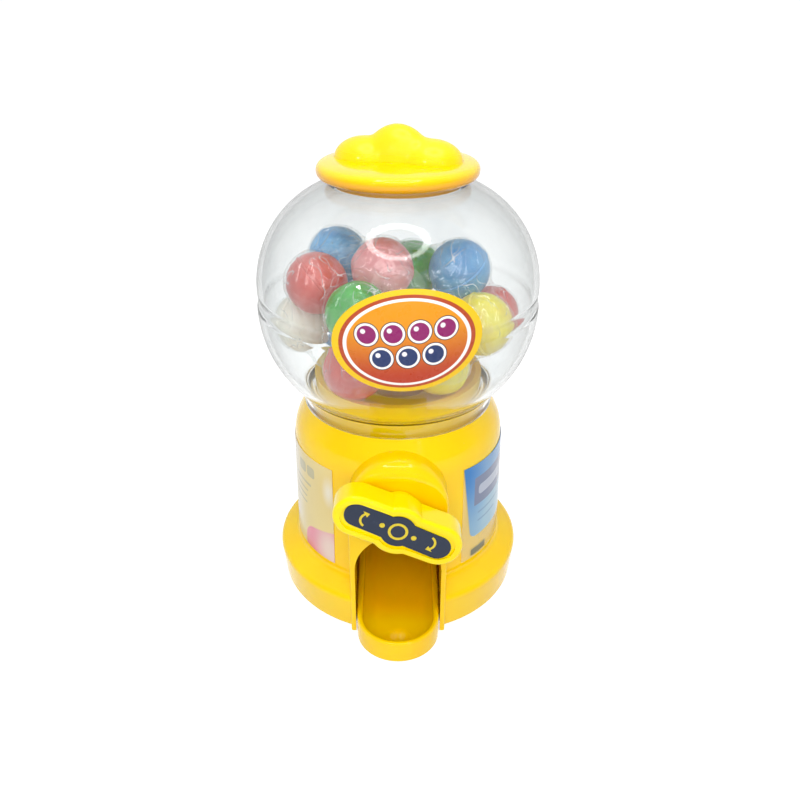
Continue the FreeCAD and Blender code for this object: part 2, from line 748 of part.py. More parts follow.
def make_hopper():
    """Funnel floor of the globe, with the upper half of the drum's housing under it."""
    body = new_body("hopper")
    throat = throat_height - d.axis_height
    rim = hopper_rim_height - d.axis_height
    foot_top = ledge_height - d.axis_height
    foot = foot_top - d.hopper_skin
    drum_case_block(body, "hopper", 1, d.hopper_flange)
    funnel = sketch_on(body, "funnel_section", "XZ_Plane")
    tube = leg(drum_room, pocket_radius)
    outline(funnel, [
        (pocket_radius, tube),
        (pocket_radius + d.hopper_skin, tube),
        (pocket_radius + d.hopper_skin, throat - d.hopper_skin),
        (hopper_radius - d.hopper_skin, rim - d.hopper_skin),
        (hopper_radius - d.hopper_skin, foot),
        (hopper_radius + d.hopper_foot_width, foot),
        (hopper_radius + d.hopper_foot_width, foot_top),
        (hopper_radius, foot_top),
        (hopper_radius, rim),
        (hopper_radius - d.hopper_skin, rim),
        (pocket_radius, throat),
    ])
    turned(body, "Revolution", "funnel", funnel)
    drum_case_room(body, "hopper")
    hole = sketch_on(body, "throat_hole", "XY_Plane", rim)
    circles(hole, [(0, 0, pocket_radius)])
    feature(body, "Pocket", "throat_cut", hole, rim)
    pilots = sketch_on(body, "hopper_pilots", "XY_Plane")
    circles(pilots, [(x, y, d.screw_radius) for x, y in flange_screw_places()])
    feature(body, "Pocket", "hopper_pilot_cut", pilots, d.screw_grip - d.cradle_flange, True)
    place(body, d.axis_height)
    return body


def make_cradle():
    """Lower half of the drum's housing, open below where the gumball drops out."""
    body = new_body("drum_cradle")
    drum_case_block(body, "cradle", -1, d.cradle_flange)
    drum_case_room(body, "cradle")
    drop = sketch_on(body, "drop_hole", "XY_Plane")
    box_outline(drop, -pocket_radius, pocket_radius, -pocket_radius, pocket_radius)
    feature(body, "Pocket", "drop_hole_cut", drop, drum_case)
    holes = sketch_on(body, "cradle_holes", "XY_Plane")
    circles(holes, [(x, y, d.screw_radius + d.screw_gap) for x, y in flange_screw_places()])
    feature(body, "Pocket", "cradle_hole_cut", holes, d.cradle_flange)
    place(body, d.axis_height)
    return body


def low_height(radius, inset=0.0):
    """Height of the globe's lower bulge at a radius, on a skin set in from the outside."""
    return globe_low_height - leg(globe_low_round - inset, radius - globe_low_centre)


def high_height(radius, inset=0.0):
    """Height of the globe's upper bulge at a radius, on a skin set in from the outside."""
    return globe_high_height + leg(globe_high_round - inset, radius - globe_high_centre)


def make_globe_bowl():
    """Lower half of the clear globe: a spigot in the collar, a round belly and a tongue at its rim."""
    body = new_body("globe_bowl")
    wall = d.globe_wall
    section = sketch_on(body, "bowl_section", "XZ_Plane")
    spigot_foot = collar_height - d.spigot_length
    outline(section, [
        (spigot_bore, spigot_foot),
        (spigot_radius, spigot_foot),
        (spigot_radius, collar_height),
        (neck_radius, collar_height),
        (neck_radius, low_height(neck_radius), globe_low_round, 1),
        (globe_radius, globe_low_height),
        (waist_radius, seam_height),
        (tongue_radius, seam_height),
        (tongue_radius, seam_height + d.tongue_height),
        (waist_radius - wall, seam_height + d.tongue_height),
        (waist_radius - wall, seam_height),
        (globe_radius - wall, globe_low_height, globe_low_round - wall, -1),
        (spigot_bore, low_height(spigot_bore, wall)),
    ])
    shell = turned(body, "Revolution", "bowl_shell", section)
    rounded(body, "globe_neck_blend", shell, d.neck_blend,
            ring_at((neck_radius, low_height(neck_radius))))
    return body


def make_globe_dome():
    """Upper half of the clear globe, set over the bowl's tongue, with a short mouth under the lid."""
    body = new_body("globe_dome")
    wall = d.globe_wall
    section = sketch_on(body, "dome_section", "XZ_Plane")
    socket_radius = tongue_radius + d.tongue_gap
    socket_top = seam_height + d.tongue_height + d.tongue_gap
    outline(section, [
        (socket_radius, seam_height),
        (waist_radius, seam_height),
        (globe_band, globe_high_height, globe_high_round, 1),
        (mouth_outside, high_height(mouth_outside)),
        (mouth_outside, mouth_height),
        (d.mouth_radius, mouth_height),
        (d.mouth_radius, high_height(d.mouth_radius, wall), globe_high_round - wall, -1),
        (globe_band - wall, globe_high_height),
        (globe_band - wall, socket_top),
        (socket_radius, socket_top),
    ])
    turned(body, "Revolution", "dome_shell", section)
    return body


def make_globe_label():
    """Oval printed film on the front of the globe."""
    shell = new_body("globe_label_shell")
    section = sketch_on(shell, "globe_label_section", "XZ_Plane")
    reach = d.oval_half_height + d.film
    low = oval_height - reach - globe_low_height
    high = oval_height + reach - globe_high_height
    back = d.film_gap
    face = d.film_gap + d.film
    outline(section, [
        (globe_low_centre + leg(globe_low_round + back, low), oval_height - reach),
        (globe_low_centre + leg(globe_low_round + face, low), oval_height - reach, globe_low_round + face, 1),
        (globe_radius + face, globe_low_height),
        (globe_band + face, globe_high_height, globe_high_round + face, 1),
        (globe_high_centre + leg(globe_high_round + face, high), oval_height + reach),
        (globe_high_centre + leg(globe_high_round + back, high), oval_height + reach, globe_high_round + back, -1),
        (globe_band + back, globe_high_height),
        (globe_radius + back, globe_low_height, globe_low_round + back, -1),
    ])
    turned(shell, "Revolution", "globe_label_film", section)
    oval = doc.addObject("Part::Ellipse", "oval")
    bind(oval, "MajorRadius", d.oval_half_width)
    bind(oval, "MinorRadius", d.oval_half_height)
    upright = FreeCAD.Rotation(X_AXIS, 90) * FreeCAD.Rotation(Z_AXIS, d.oval_tilt.value)
    oval.Placement = FreeCAD.Placement(FreeCAD.Vector(), upright)
    bind(oval, ".Placement.Base.x", d.oval_shift)
    bind(oval, ".Placement.Base.z", oval_height)
    prism = doc.addObject("Part::Extrusion", "oval_prism")
    prism.Base = oval
    prism.Dir = -Y_AXIS
    prism.Solid = True
    bind(prism, "LengthFwd", globe_radius + d.film * 2)
    label = doc.addObject("Part::Common", "globe_label")
    label.Base = shell
    label.Tool = prism
    return label


def make_side_label(name, first_angle):
    """Clear printed film round one side of the pedestal's wall."""
    body = new_body(name)
    section = sketch_on(body, f"{name}_section", "XZ_Plane")
    low = wall_radius(label_low) + d.film_gap
    high = wall_radius(label_high) + d.film_gap
    outline(section, [
        (low, label_low),
        (low + d.film, label_low),
        (high + d.film, label_high),
        (high, label_high),
    ])
    turned(body, "Revolution", f"{name}_film", section, d.label_sweep)
    place(body, 0.0, Z_AXIS, first_angle)
    return body


# The pieces that turn with the knob

def make_drum():
    """Dispensing drum with one gumball pocket, moulded with its shaft and square drive."""
    body = new_body("dispensing_drum")
    section = sketch_on(body, "drum_section", "XY_Plane")
    outline(section, [
        (0, -shaft_end),
        (d.shaft_radius, -shaft_end),
        (d.shaft_radius, -drum_half),
        (drum_radius, -drum_half),
        (drum_radius, drum_half),
        (d.shaft_radius, drum_half),
        (d.shaft_radius, drum_half + d.trunnion_length),
        (0, drum_half + d.trunnion_length),
    ])
    turned(body, "Revolution", "drum_solid", section)
    pocket = sketch_on(body, "ball_pocket", "XY_Plane", drum_radius - d.ball_diameter - d.pocket_gap)
    circles(pocket, [(0, 0, pocket_radius)])
    feature(body, "Pocket", "ball_pocket_cut", pocket, drum_radius * 2, True)
    core = sketch_on(body, "drum_core", "XZ_Plane", -drum_half)
    core_radius = drum_radius - d.drum_wall
    core_top = drum_radius - d.ball_diameter - d.pocket_gap - d.drum_wall
    core_reach = leg(core_radius, core_top)
    keep = d.shaft_radius + d.drum_wall
    outline(core, [
        (keep, core_top),
        (keep, -keep),
        (-keep, -keep),
        (-keep, core_top),
        (-core_reach, core_top, core_radius, 1),
        (0, -core_radius, core_radius, 1),
        (core_reach, core_top),
    ])
    feature(body, "Pocket", "drum_core_cut", core, drum_half * 2 - d.drum_skin, True)
    drive = sketch_on(body, "drive_square", "XZ_Plane", shaft_end, -d.knob_turn)
    half = d.drive_width / 2
    box_outline(drive, -half, half, -half, half)
    feature(body, "Pad", "drive_square_pad", drive, d.drive_length)
    pilot = sketch_on(body, "drive_pilot", "XZ_Plane", drive_end)
    circles(pilot, [(0, 0, d.screw_radius)])
    feature(body, "Pocket", "drive_pilot_cut", pilot, d.drive_length + d.screw_grip)
    place(body, d.axis_height)
    return body


def make_knob():
    """Winged knob with a sunk face, a round hub behind and a square socket for the shaft."""
    body = new_body("knob")
    wings = sketch_on(body, "knob_outline", "XZ_Plane", knob_back)
    bow_tie(wings, d.knob_half_length, d.knob_half_width, d.knob_bulge_radius)
    solid = feature(body, "Pad", "knob_block", wings, d.knob_depth)
    front = facing("Y", -knob_front)
    back = facing("Y", -knob_back)
    rounded(body, "knob_edges", solid, d.knob_round, lambda edge: front(edge) or back(edge))
    hub = sketch_on(body, "knob_hub", "XZ_Plane", hub_end)
    circles(hub, [(0, 0, d.knob_hub_radius)])
    feature(body, "Pad", "knob_hub_pad", hub, knob_back - hub_end + d.knob_round)
    face = sketch_on(body, "knob_face", "XZ_Plane", knob_front)
    bow_tie(face, d.knob_half_length - d.knob_rim, d.knob_half_width - d.knob_rim,
            d.knob_bulge_radius - d.knob_rim)
    feature(body, "Pocket", "knob_face_cut", face, d.plate_inset)
    bore = sketch_on(body, "hub_bore", "XZ_Plane", hub_end)
    circles(bore, [(0, 0, shaft_bore)])
    feature(body, "Pocket", "hub_bore_cut", bore, shaft_end - hub_end, True)
    socket = sketch_on(body, "drive_socket", "XZ_Plane", shaft_end)
    half = d.drive_width / 2 + d.drive_gap
    box_outline(socket, -half, half, -half, half)
    feature(body, "Pocket", "drive_socket_cut", socket, d.drive_length + d.drive_gap, True)
    hole = sketch_on(body, "knob_screw_hole", "XZ_Plane", knob_front)
    circles(hole, [(0, 0, d.screw_radius + d.screw_gap)])
    feature(body, "Pocket", "knob_screw_hole_cut", hole, d.knob_depth)
    head = sketch_on(body, "knob_screw_seat", "XZ_Plane", knob_front)
    circles(head, [(0, 0, d.screw_head_radius + d.screw_gap)])
    feature(body, "Pocket", "knob_screw_seat_cut", head, d.plate_inset + d.screw_head_height)
    place(body, d.axis_height, Y_AXIS, d.knob_turn)
    return body


def make_knob_plate():
    """Dark printed plate stuck in the knob's sunk face."""
    body = new_body("knob_plate")
    shape = sketch_on(body, "plate_outline", "XZ_Plane", recess_floor)
    bow_tie(shape, plate_half_length, plate_half_width, plate_bulge_radius)
    feature(body, "Pad", "plate_block", shape, d.plate_thickness)
    place(body, d.axis_height, Y_AXIS, d.plate_turn)
    return body


# The lid, which lifts off

def half_ellipsoid(body, name, shift, lift, length, width, height):
    """A soft lobe on a level face: half of an ellipsoid, set off along X."""
    lobe = body.newObject("PartDesign::AdditiveEllipsoid", name)
    lobe.Angle1 = 0.0
    bind(lobe, "Radius1", height)
    bind(lobe, "Radius2", length)
    bind(lobe, "Radius3", width)
    plane = next(item for item in body.Origin.OriginFeatures if item.Role == "XY_Plane")
    lobe.AttachmentSupport = (plane, [""])
    lobe.MapMode = "FlatFace"
    bind(lobe, ".AttachmentOffset.Base.x", shift)
    bind(lobe, ".AttachmentOffset.Base.z", lift)
    doc.recompute()
    return lobe


def make_lid():
    """Disc with a rounded rim, a plug for the globe's mouth and a winged grip with a dome."""
    body = new_body("lid")
    plug = d.mouth_radius - d.plug_gap
    plug_inside = plug - d.plug_wall
    ceiling = lid_top - d.lid_skin
    section = sketch_on(body, "lid_section", "XZ_Plane")
    outline(section, [
        (0, ceiling),
        (plug_inside, ceiling),
        (plug_inside, lid_bottom - d.plug_length),
        (plug, lid_bottom - d.plug_length),
        (plug, lid_bottom),
        (lid_radius, lid_bottom, d.lid_round),
        (lid_radius, lid_top, d.lid_round),
        (d.grip_lobe_reach + d.grip_lobe_length, lid_top + d.lid_crown),
        (0, lid_top + d.lid_crown),
    ])
    turned(body, "Revolution", "lid_disc", section)
    lobe = (d.grip_lobe_length, d.grip_lobe_width, d.grip_lobe_height)
    half_ellipsoid(body, "grip_left", -d.grip_lobe_reach, lid_top, *lobe)
    half_ellipsoid(body, "grip_right", d.grip_lobe_reach, lid_top, *lobe)
    half_ellipsoid(body, "grip_dome", 0.0, lid_top, d.grip_dome_length, d.grip_dome_width, d.grip_dome_height)
    place(body, 0.0, Z_AXIS, -d.grip_turn)
    return body


# Screws and gumballs

def recess_bar(name, length, width):
    """One bar of the cross recess that is cut up into a screw's head."""
    bar = doc.addObject("Part::Box", name)
    bind(bar, "Length", length)
    bind(bar, "Width", width)
    bind(bar, "Height", d.recess_depth)
    bind(bar, ".Placement.Base.x", -length / 2)
    bind(bar, ".Placement.Base.y", -width / 2)
    bind(bar, ".Placement.Base.z", -d.screw_head_height)
    return bar


def make_screws(label, places, seat):
    """Pan-head screws driven upwards: each head lies under its seat and the shank stands on it."""
    screws = []
    for index, (x, y) in enumerate(places):
        head = doc.addObject("Part::Cylinder", f"{label}_head_{index}")
        shank = doc.addObject("Part::Cylinder", f"{label}_shank_{index}")
        bind(head, "Radius", d.screw_head_radius)
        bind(head, "Height", d.screw_head_height)
        bind(shank, "Radius", d.screw_radius)
        bind(shank, "Height", d.screw_grip)
        bind(head, ".Placement.Base.z", -d.screw_head_height)
        blank = doc.addObject("Part::Fuse", f"{label}_blank_{index}")
        blank.Base = head
        blank.Tool = shank
        cross = doc.addObject("Part::Fuse", f"{label}_cross_{index}")
        cross.Base = recess_bar(f"{label}_bar_a_{index}", d.recess_length, d.recess_width)
        cross.Tool = recess_bar(f"{label}_bar_b_{index}", d.recess_width, d.recess_length)
        screw = doc.addObject("Part::Cut", f"{label}_{index}")
        screw.Base = blank
        screw.Tool = cross
        bind(screw, ".Placement.Base.x", x)
        bind(screw, ".Placement.Base.y", y)
        bind(screw, ".Placement.Base.z", seat)
        screws.append(screw)
    group = doc.addObject("Part::Compound", label)
    group.Links = screws
    return group


def make_knob_screw():
    """Screw that holds the knob on the shaft, hidden under the plate."""
    body = new_body("knob_screw")
    section = sketch_on(body, "knob_screw_section", "XY_Plane")
    seat = recess_floor - d.screw_head_height
    tip = drive_end - d.screw_grip
    outline(section, [
        (0, -recess_floor),
        (d.screw_head_radius, -recess_floor),
        (d.screw_head_radius, -seat),
        (d.screw_radius, -seat),
        (d.screw_radius, -tip),
        (0, -tip),
    ])
    turned(body, "Revolution", "knob_screw_solid", section)
    place(body, d.axis_height)
    return body


def make_gumballs(colour, centres):
    """All gumballs of one colour, loose in the globe."""
    balls = []
    for index, (x, y, z) in enumerate(centres):
        ball = doc.addObject("Part::Sphere", f"gumball_{colour}_{index}")
        bind(ball, "Radius", d.ball_diameter / 2)
        bind(ball, ".Placement.Base.x", d.ball_diameter * x)
        bind(ball, ".Placement.Base.y", d.ball_diameter * y)
        bind(ball, ".Placement.Base.z", throat_height + d.ball_diameter * z)
        balls.append(ball)
    group = doc.addObject("Part::Compound", f"gumballs_{colour}")
    group.Links = balls
    return group


def make_all():
    """Every piece of the machine, in the order in which it is put together."""
    pieces = [
        make_pedestal(),
        make_bottom_cover(),
        make_tray(),
        make_hopper(),
        make_cradle(),
        make_globe_bowl(),
        make_globe_dome(),
        make_globe_label(),
        make_side_label("right_label", d.label_start - 90.0),
        make_side_label("left_label", 270.0 - d.label_start - d.label_sweep),
        make_drum(),
        make_knob(),
        make_knob_plate(),
        make_knob_screw(),
        make_lid(),
        make_screws("cover_screws", cover_screw_places(), cover_seat),
        make_screws("tray_screws", tray_screw_places(), cover_seat),
        make_screws("cradle_screws", flange_screw_places(), d.axis_height - d.cradle_flange),
    ]
    pieces += [make_gumballs(colour, centres) for colour, centres in GUMBALLS.items()]
    return pieces


def check_and_write(pieces):
    """Stop on any failed feature or bad solid, then write one file for each piece."""
    doc.recompute()
    failed = [item.Name for item in doc.Objects if {"Invalid", "Error"} & set(item.State)]
    bad = [item.Label for item in pieces if item.Shape.isNull() or not item.Shape.isValid()]
    if failed or bad:
        raise RuntimeError(f"failed features {failed}, bad shapes {bad}")
    os.makedirs("parts", exist_ok=True)
    for item in pieces:
        item.Shape.exportStep(f"parts/{item.Label}.step")


check_and_write(make_all())
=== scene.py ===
import math

import bmesh
import bpy
from mathutils import Matrix, Vector, noise


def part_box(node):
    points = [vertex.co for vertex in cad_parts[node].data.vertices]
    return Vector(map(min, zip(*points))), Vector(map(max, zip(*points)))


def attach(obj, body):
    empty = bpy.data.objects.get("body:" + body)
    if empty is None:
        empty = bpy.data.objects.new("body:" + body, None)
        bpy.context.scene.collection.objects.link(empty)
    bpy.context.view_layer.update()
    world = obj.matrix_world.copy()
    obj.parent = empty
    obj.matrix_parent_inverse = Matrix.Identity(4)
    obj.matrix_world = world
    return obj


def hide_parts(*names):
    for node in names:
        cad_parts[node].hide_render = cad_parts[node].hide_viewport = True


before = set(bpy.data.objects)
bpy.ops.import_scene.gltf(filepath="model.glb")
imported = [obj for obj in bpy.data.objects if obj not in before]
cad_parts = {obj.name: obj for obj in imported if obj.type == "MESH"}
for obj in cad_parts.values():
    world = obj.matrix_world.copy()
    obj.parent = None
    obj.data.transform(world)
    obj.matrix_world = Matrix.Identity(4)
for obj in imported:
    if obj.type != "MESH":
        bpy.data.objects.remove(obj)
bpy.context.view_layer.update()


# Pedestal
# The hollow base that carries everything: rim, sloping flange, round wall, shoulder and the
# arched front housing. One injection moulding in glossy yellow styrene.

def paint(red, green, blue):
    """A colour written in screen values, as the shaders want it."""
    shares = [level / 255 for level in (red, green, blue)]
    linear = [((share + 0.055) / 1.055) ** 2.4 if share > 0.04 else share / 12.92 for share in shares]
    return (*linear, 1.0)


class Value:
    """A number, colour or vector on its way through the nodes of a finish."""

    def __init__(self, tree, socket):
        self.tree = tree
        self.socket = socket

    def node(self, kind, settings, inputs, output=0):
        """Add one node: its settings first, then the values or links of its sockets."""
        made = self.tree.nodes.new("ShaderNode" + kind)
        for name, setting in settings.items():
            setattr(made, name, setting)
        for name, given in inputs.items():
            if isinstance(given, Value):
                self.tree.links.new(given.socket, made.inputs[name])
            else:
                made.inputs[name].default_value = given
        return Value(self.tree, made.outputs[output])

    def math(self, operation, first, second=0.0, third=0.0):
        return self.node("Math", {"operation": operation}, {0: first, 1: second, 2: third})

    def __add__(self, other):
        return self.math("ADD", self, other)

    def __radd__(self, other):
        return self.math("ADD", other, self)

    def __sub__(self, other):
        return self.math("SUBTRACT", self, other)

    def __rsub__(self, other):
        return self.math("SUBTRACT", other, self)

    def __mul__(self, other):
        return self.math("MULTIPLY", self, other)

    def __rmul__(self, other):
        return self.math("MULTIPLY", other, self)

    def __truediv__(self, other):
        return self.math("DIVIDE", self, other)

    def __pow__(self, other):
        return self.math("POWER", self, other)

    def __abs__(self):
        return self.math("ABSOLUTE", self)

    def __and__(self, other):
        return self.math("MINIMUM", self, other)

    def __or__(self, other):
        return self.math("MAXIMUM", self, other)

    def step(self, start, end):
        """0 before start and 1 after end, with a smooth ramp between."""
        return self.node("MapRange", {"interpolation_type": "SMOOTHSTEP"}, {0: self, 1: start, 2: end})

    def axes(self):
        """The three numbers of a place."""
        split = self.node("SeparateXYZ", {}, {0: self}).socket.node
        return [Value(self.tree, socket) for socket in split.outputs]

    def stretched(self, scale, turn=(0.0, 0.0, 0.0)):
        """The place with its axes turned and drawn out, for marks that run one way."""
        return self.node("Mapping", {}, {0: self, "Rotation": turn, "Scale": scale})

    def cloud(self, scale, detail=2.0, roughness=0.5):
        """Soft even noise from 0 to 1."""
        return self.node("TexNoise", {},
                         {"Vector": self, "Scale": scale, "Detail": detail, "Roughness": roughness})

    def tint(self, low, high):
        """From one colour to another as the value goes from 0 to 1."""
        return self.node("Mix", {"data_type": "RGBA"}, {0: self, 6: low, 7: high}, 2)

    def into(self, shader, name):
        self.tree.links.new(self.socket, shader.inputs[name])


def start_finish(name):
    """A new finish: its material, its shader and the place on the piece in metres."""
    finish = bpy.data.materials.new(name)
    finish.use_nodes = True
    tree = finish.node_tree
    shader = tree.nodes["Principled BSDF"]
    spot = Value(tree, tree.nodes.new("ShaderNodeTexCoord").outputs["Object"])
    return finish, shader, spot


def bumped(spot, strength, distance, height):
    """The direction of a surface with small relief."""
    return spot.node("Bump", {}, {"Strength": strength, "Distance": distance, "Height": height})


def yellow_plastic(name, pale, deep, gloss, shade_tone=None, shade_mask=None, specular=0.3):
    """Glossy moulded yellow: pigment drift, faint flow marks, a moulded skin, specks and smears.

    Where a mask of the place is given, the colour goes over to the given darker tone there: painted shade in
    deep places."""
    finish, shader, spot = start_finish(name)
    drift = spot.cloud(45.0, 3.0)
    flow = spot.stretched((1.0, 1.0, 0.25)).cloud(160.0, 4.0, 0.6)
    smear = spot.cloud(120.0, 5.0, 0.65).step(0.45, 0.75)
    speck = spot.cloud(2600.0, 1.0).step(0.74, 0.80)
    tone_and_painted_shade = (drift * 0.7 + flow * 0.3).step(0.3, 0.7).tint(pale, deep)
    # painted shade: where the mask is 1, the yellow goes over to the given darker orange
    if shade_mask:
        tone_and_painted_shade = shade_mask(spot).tint(tone_and_painted_shade, shade_tone)
    (speck * 0.4).tint(tone_and_painted_shade, paint(236, 214, 120)).into(shader, "Base Color")
    (gloss + smear * 0.06 + speck * 0.15).into(shader, "Roughness")
    skin = spot.cloud(700.0, 2.0) * 0.6 + flow * 0.4
    bumped(spot, 0.3, 0.00005, skin).into(shader, "Normal")
    shader.inputs["Specular IOR Level"].default_value = specular
    shader.inputs["Subsurface Weight"].default_value = 0.12
    shader.inputs["Subsurface Radius"].default_value = (1.0, 0.45, 0.02)
    shader.inputs["Subsurface Scale"].default_value = 0.002
    return finish


def finish_node(name, finish):
    """Give a CAD node its finish."""
    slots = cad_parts[name].data.materials
    slots.clear()
    slots.append(finish)


# Where the chute starts and ends: each pair is the start and the end of a soft change to the painted shade.
CHUTE_MOUTH, CHUTE_BACK = (-0.0345, -0.0300), (0.0, 0.0040)
CHUTE_SIDE, CHUTE_ROOF = (0.0116, 0.0121), (0.0335, 0.0350)
# painted shade: the deeper orange laid on the yellow where it lies deep
PAINTED_SHADE_AMBER = paint(255, 190, 0)  # the yellow where it lies deep and gets light from yellow walls only


def chute_painted_shade(spot):
    """Painted shade inside the arched housing, where the plastic lies deep behind its mouth."""
    across, depth, up = spot.axes()
    inside = depth.step(*CHUTE_MOUTH) & (1 - depth.step(*CHUTE_BACK))
    return (1 - abs(across).step(*CHUTE_SIDE)) & inside & (1 - up.step(*CHUTE_ROOF))


# painted shade: the pedestal goes over to a deeper orange inside the chute
body_yellow = yellow_plastic("body_yellow", paint(255, 214, 0), paint(252, 205, 0), 0.07, PAINTED_SHADE_AMBER, chute_painted_shade)
finish_node("pedestal", body_yellow)


# Bottom cover and its screws
# A flat yellow disc that closes the base from below, held by three plated pan-head screws
# driven up into bosses. Its underside is finer sparked than the parts that show.

finish_node("bottom_cover", yellow_plastic("cover_yellow", paint(250, 206, 0), paint(242, 194, 0), 0.34))


def screw_metal():
    """Zinc-plated steel: turning rings on the head, a little grime and scattered dull spots."""
    finish, shader, spot = start_finish("screw_metal")
    grime = spot.cloud(900.0, 4.0, 0.6).step(0.5, 0.75)
    grime.tint(paint(205, 207, 208), paint(138, 134, 126)).into(shader, "Base Color")
    (0.24 + spot.cloud(2200.0, 3.0) * 0.2 + grime * 0.15).into(shader, "Roughness")
    rings = spot.node("TexWave", {"wave_type": "RINGS", "rings_direction": "Z"},
                      {"Vector": spot, "Scale": 900.0, "Distortion": 1.5})
    bumped(spot, 0.3, 0.00003, rings).into(shader, "Normal")
    shader.inputs["Metallic"].default_value = 1.0
    return finish


steel = screw_metal()
finish_node("cover_screws", steel)


# Tray
# The trough that slopes from under the drum to the round dish in front, hollowed where the
# ball comes to rest. Yellow moulding, screwed to the pedestal, a little dull on the ball's path.

TRAY_HALF, TRAY_INSIDE = 0.0114, 0.0099  # half widths, outside and between the walls
TRAY_SPREAD = 0.0003  # how much thicker the walls are inside the housing
TRAY_FOOT, TRAY_FLOOR, TRAY_RIM = 0.0003, 0.0022, 0.0066  # heights in front
TRAY_RISE = 0.0060  # how much higher floor and rim lie at the back
TRAY_CORNER, TRAY_LIP = 0.0038, 0.0006  # radii of the inner corner and of the rim
END_WALL = 0.0015  # thickness of the wall that closes the back
DISH_Y, RAMP_Y, BACK_Y = -0.0352, -0.0300, 0.0130  # the dish's middle, the ramp's foot and the back
LEVEL_ROWS, DISH_ROWS = 5, 36  # rows of faces between ramp and dish, and round the dish
HOLLOW, HOLLOW_RADIUS, HOLLOW_DEPTH = Vector((0.0, -0.0406)), 0.0042, 0.0017


def link_piece(name, mesh, finish, body):
    """Make an object of a finished bmesh, and let it ride on a body."""
    data = bpy.data.meshes.new(name)
    mesh.to_mesh(data)
    mesh.free()
    piece = bpy.data.objects.new(name, data)
    bpy.context.scene.collection.objects.link(piece)
    data.materials.append(finish)
    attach(piece, body)
    return piece


def tidy(mesh):
    """Close seams and poles, turn every face outwards, and shade smooth up to the hard corners."""
    bmesh.ops.remove_doubles(mesh, verts=mesh.verts, dist=1e-7)
    bmesh.ops.recalc_face_normals(mesh, faces=mesh.faces)
    for face in mesh.faces:
        face.smooth = True
    for edge in mesh.edges:
        edge.smooth = edge.calc_face_angle(0.0) < math.radians(40)


def arc(middle, radius, first, last, steps):
    """Points round a middle, between two angles in degrees."""
    turns = [math.radians(first + (last - first) * step / steps) for step in range(steps + 1)]
    return [(middle[0] + radius * math.cos(turn), middle[1] + radius * math.sin(turn))
            for turn in turns]


def tray_section(rise, spread):
    """Half of the tray across, from its middle out over the wall and back underneath."""
    floor, rim, half = TRAY_FLOOR + rise, TRAY_RIM + rise, TRAY_HALF + spread
    flat = TRAY_INSIDE - TRAY_CORNER
    line = [(flat * step / 9, floor) for step in range(9)]
    line += arc((flat, floor + TRAY_CORNER), TRAY_CORNER, -90, 0, 8)
    line += arc((TRAY_INSIDE + TRAY_LIP, rim - TRAY_LIP), TRAY_LIP, 180, 90, 4)[1:]
    line += arc((half - TRAY_LIP, rim - TRAY_LIP), TRAY_LIP, 90, 0, 4)
    return line + [(half, TRAY_FOOT), (0.0, TRAY_FOOT)]


def tray_rows():
    """The section's places along one side, round the dish and back along the other side."""
    shares = [step / LEVEL_ROWS for step in range(LEVEL_ROWS)]
    along = [(BACK_Y, tray_section(TRAY_RISE, TRAY_SPREAD))]
    along += [(RAMP_Y + (DISH_Y - RAMP_Y) * share, tray_section(0.0, TRAY_SPREAD * (1 - share)))
              for share in shares]
    right = [[Vector((out, y, up)) for out, up in section] for y, section in along]
    left = [[Vector((-out, y, up)) for out, up in section] for y, section in reversed(along)]
    turns = [math.pi * step / DISH_ROWS for step in range(DISH_ROWS + 1)]
    dish = [[Vector((out * math.cos(turn), DISH_Y - out * math.sin(turn), up))
             for out, up in tray_section(0.0, 0.0)] for turn in turns]
    return right + dish + left


def dulled(finish, worn, amount):
    """Make a finish rougher where a mask of the place says that it is worn."""
    tree = finish.node_tree
    shader = tree.nodes["Principled BSDF"]
    gloss = Value(tree, shader.inputs["Roughness"].links[0].from_socket)
    spot = Value(tree, tree.nodes.new("ShaderNodeTexCoord").outputs["Object"])
    (gloss + worn(spot) * amount).into(shader, "Roughness")
    return finish


def trough_painted_shade(spot):
    """Painted shade in the depth of the trough behind the dish, less of it up its walls."""
    across, depth, _ = spot.axes()
    return depth.step(-0.0350, -0.0265) * (1 - abs(across).step(0.0070, 0.0096) * 0.5)


def rolling_track(spot):
    """The ball's path down the middle of the trough, broken up."""
    return (1 - abs(spot.axes()[0]).step(0.003, 0.007)) * spot.cloud(300.0, 3.0).step(0.35, 0.7)


# painted shade: the trough goes over to a deeper orange behind the dish
tray_yellow = yellow_plastic("tray_yellow", paint(255, 210, 0), paint(250, 200, 0), 0.06, PAINTED_SHADE_AMBER, trough_painted_shade)

trough = bmesh.new()
rows = [[trough.verts.new(place) for place in row] for row in tray_rows()]
for row, following in zip(rows, rows[1:]):
    for here in range(len(row) - 1):
        trough.faces.new((row[here], following[here], following[here + 1], row[here + 1]))
bmesh.ops.remove_doubles(trough, verts=trough.verts, dist=1e-7)
bmesh.ops.holes_fill(trough, edges=[edge for edge in trough.edges if edge.is_boundary])
for vert in trough.verts:
    away = (vert.co.xy - HOLLOW).length / HOLLOW_RADIUS
    if away < 1 and vert.co.z > TRAY_FOOT + 1e-6:
        vert.co.z -= HOLLOW_DEPTH * (1 - away ** 2) ** 2
end_low, end_high = TRAY_FLOOR, TRAY_RIM + TRAY_RISE
end_place = Matrix.Translation((0.0, BACK_Y - END_WALL / 2, (end_low + end_high) / 2))
end_size = Matrix.Diagonal((2 * TRAY_INSIDE, END_WALL, end_high - end_low, 1.0))
bmesh.ops.create_cube(trough, size=1.0, matrix=end_place @ end_size)
tidy(trough)
tray = link_piece("dish_tray", trough, dulled(tray_yellow, rolling_track, 0.1), "base")
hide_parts("chute_tray")
finish_node("tray_screws", steel)


# Hopper, drum and cradle
# The funnel floor of the globe, and the split housing in which the drum carries one ball at
# a time from the funnel to the tray. Yellow mouldings, hidden but for the funnel.

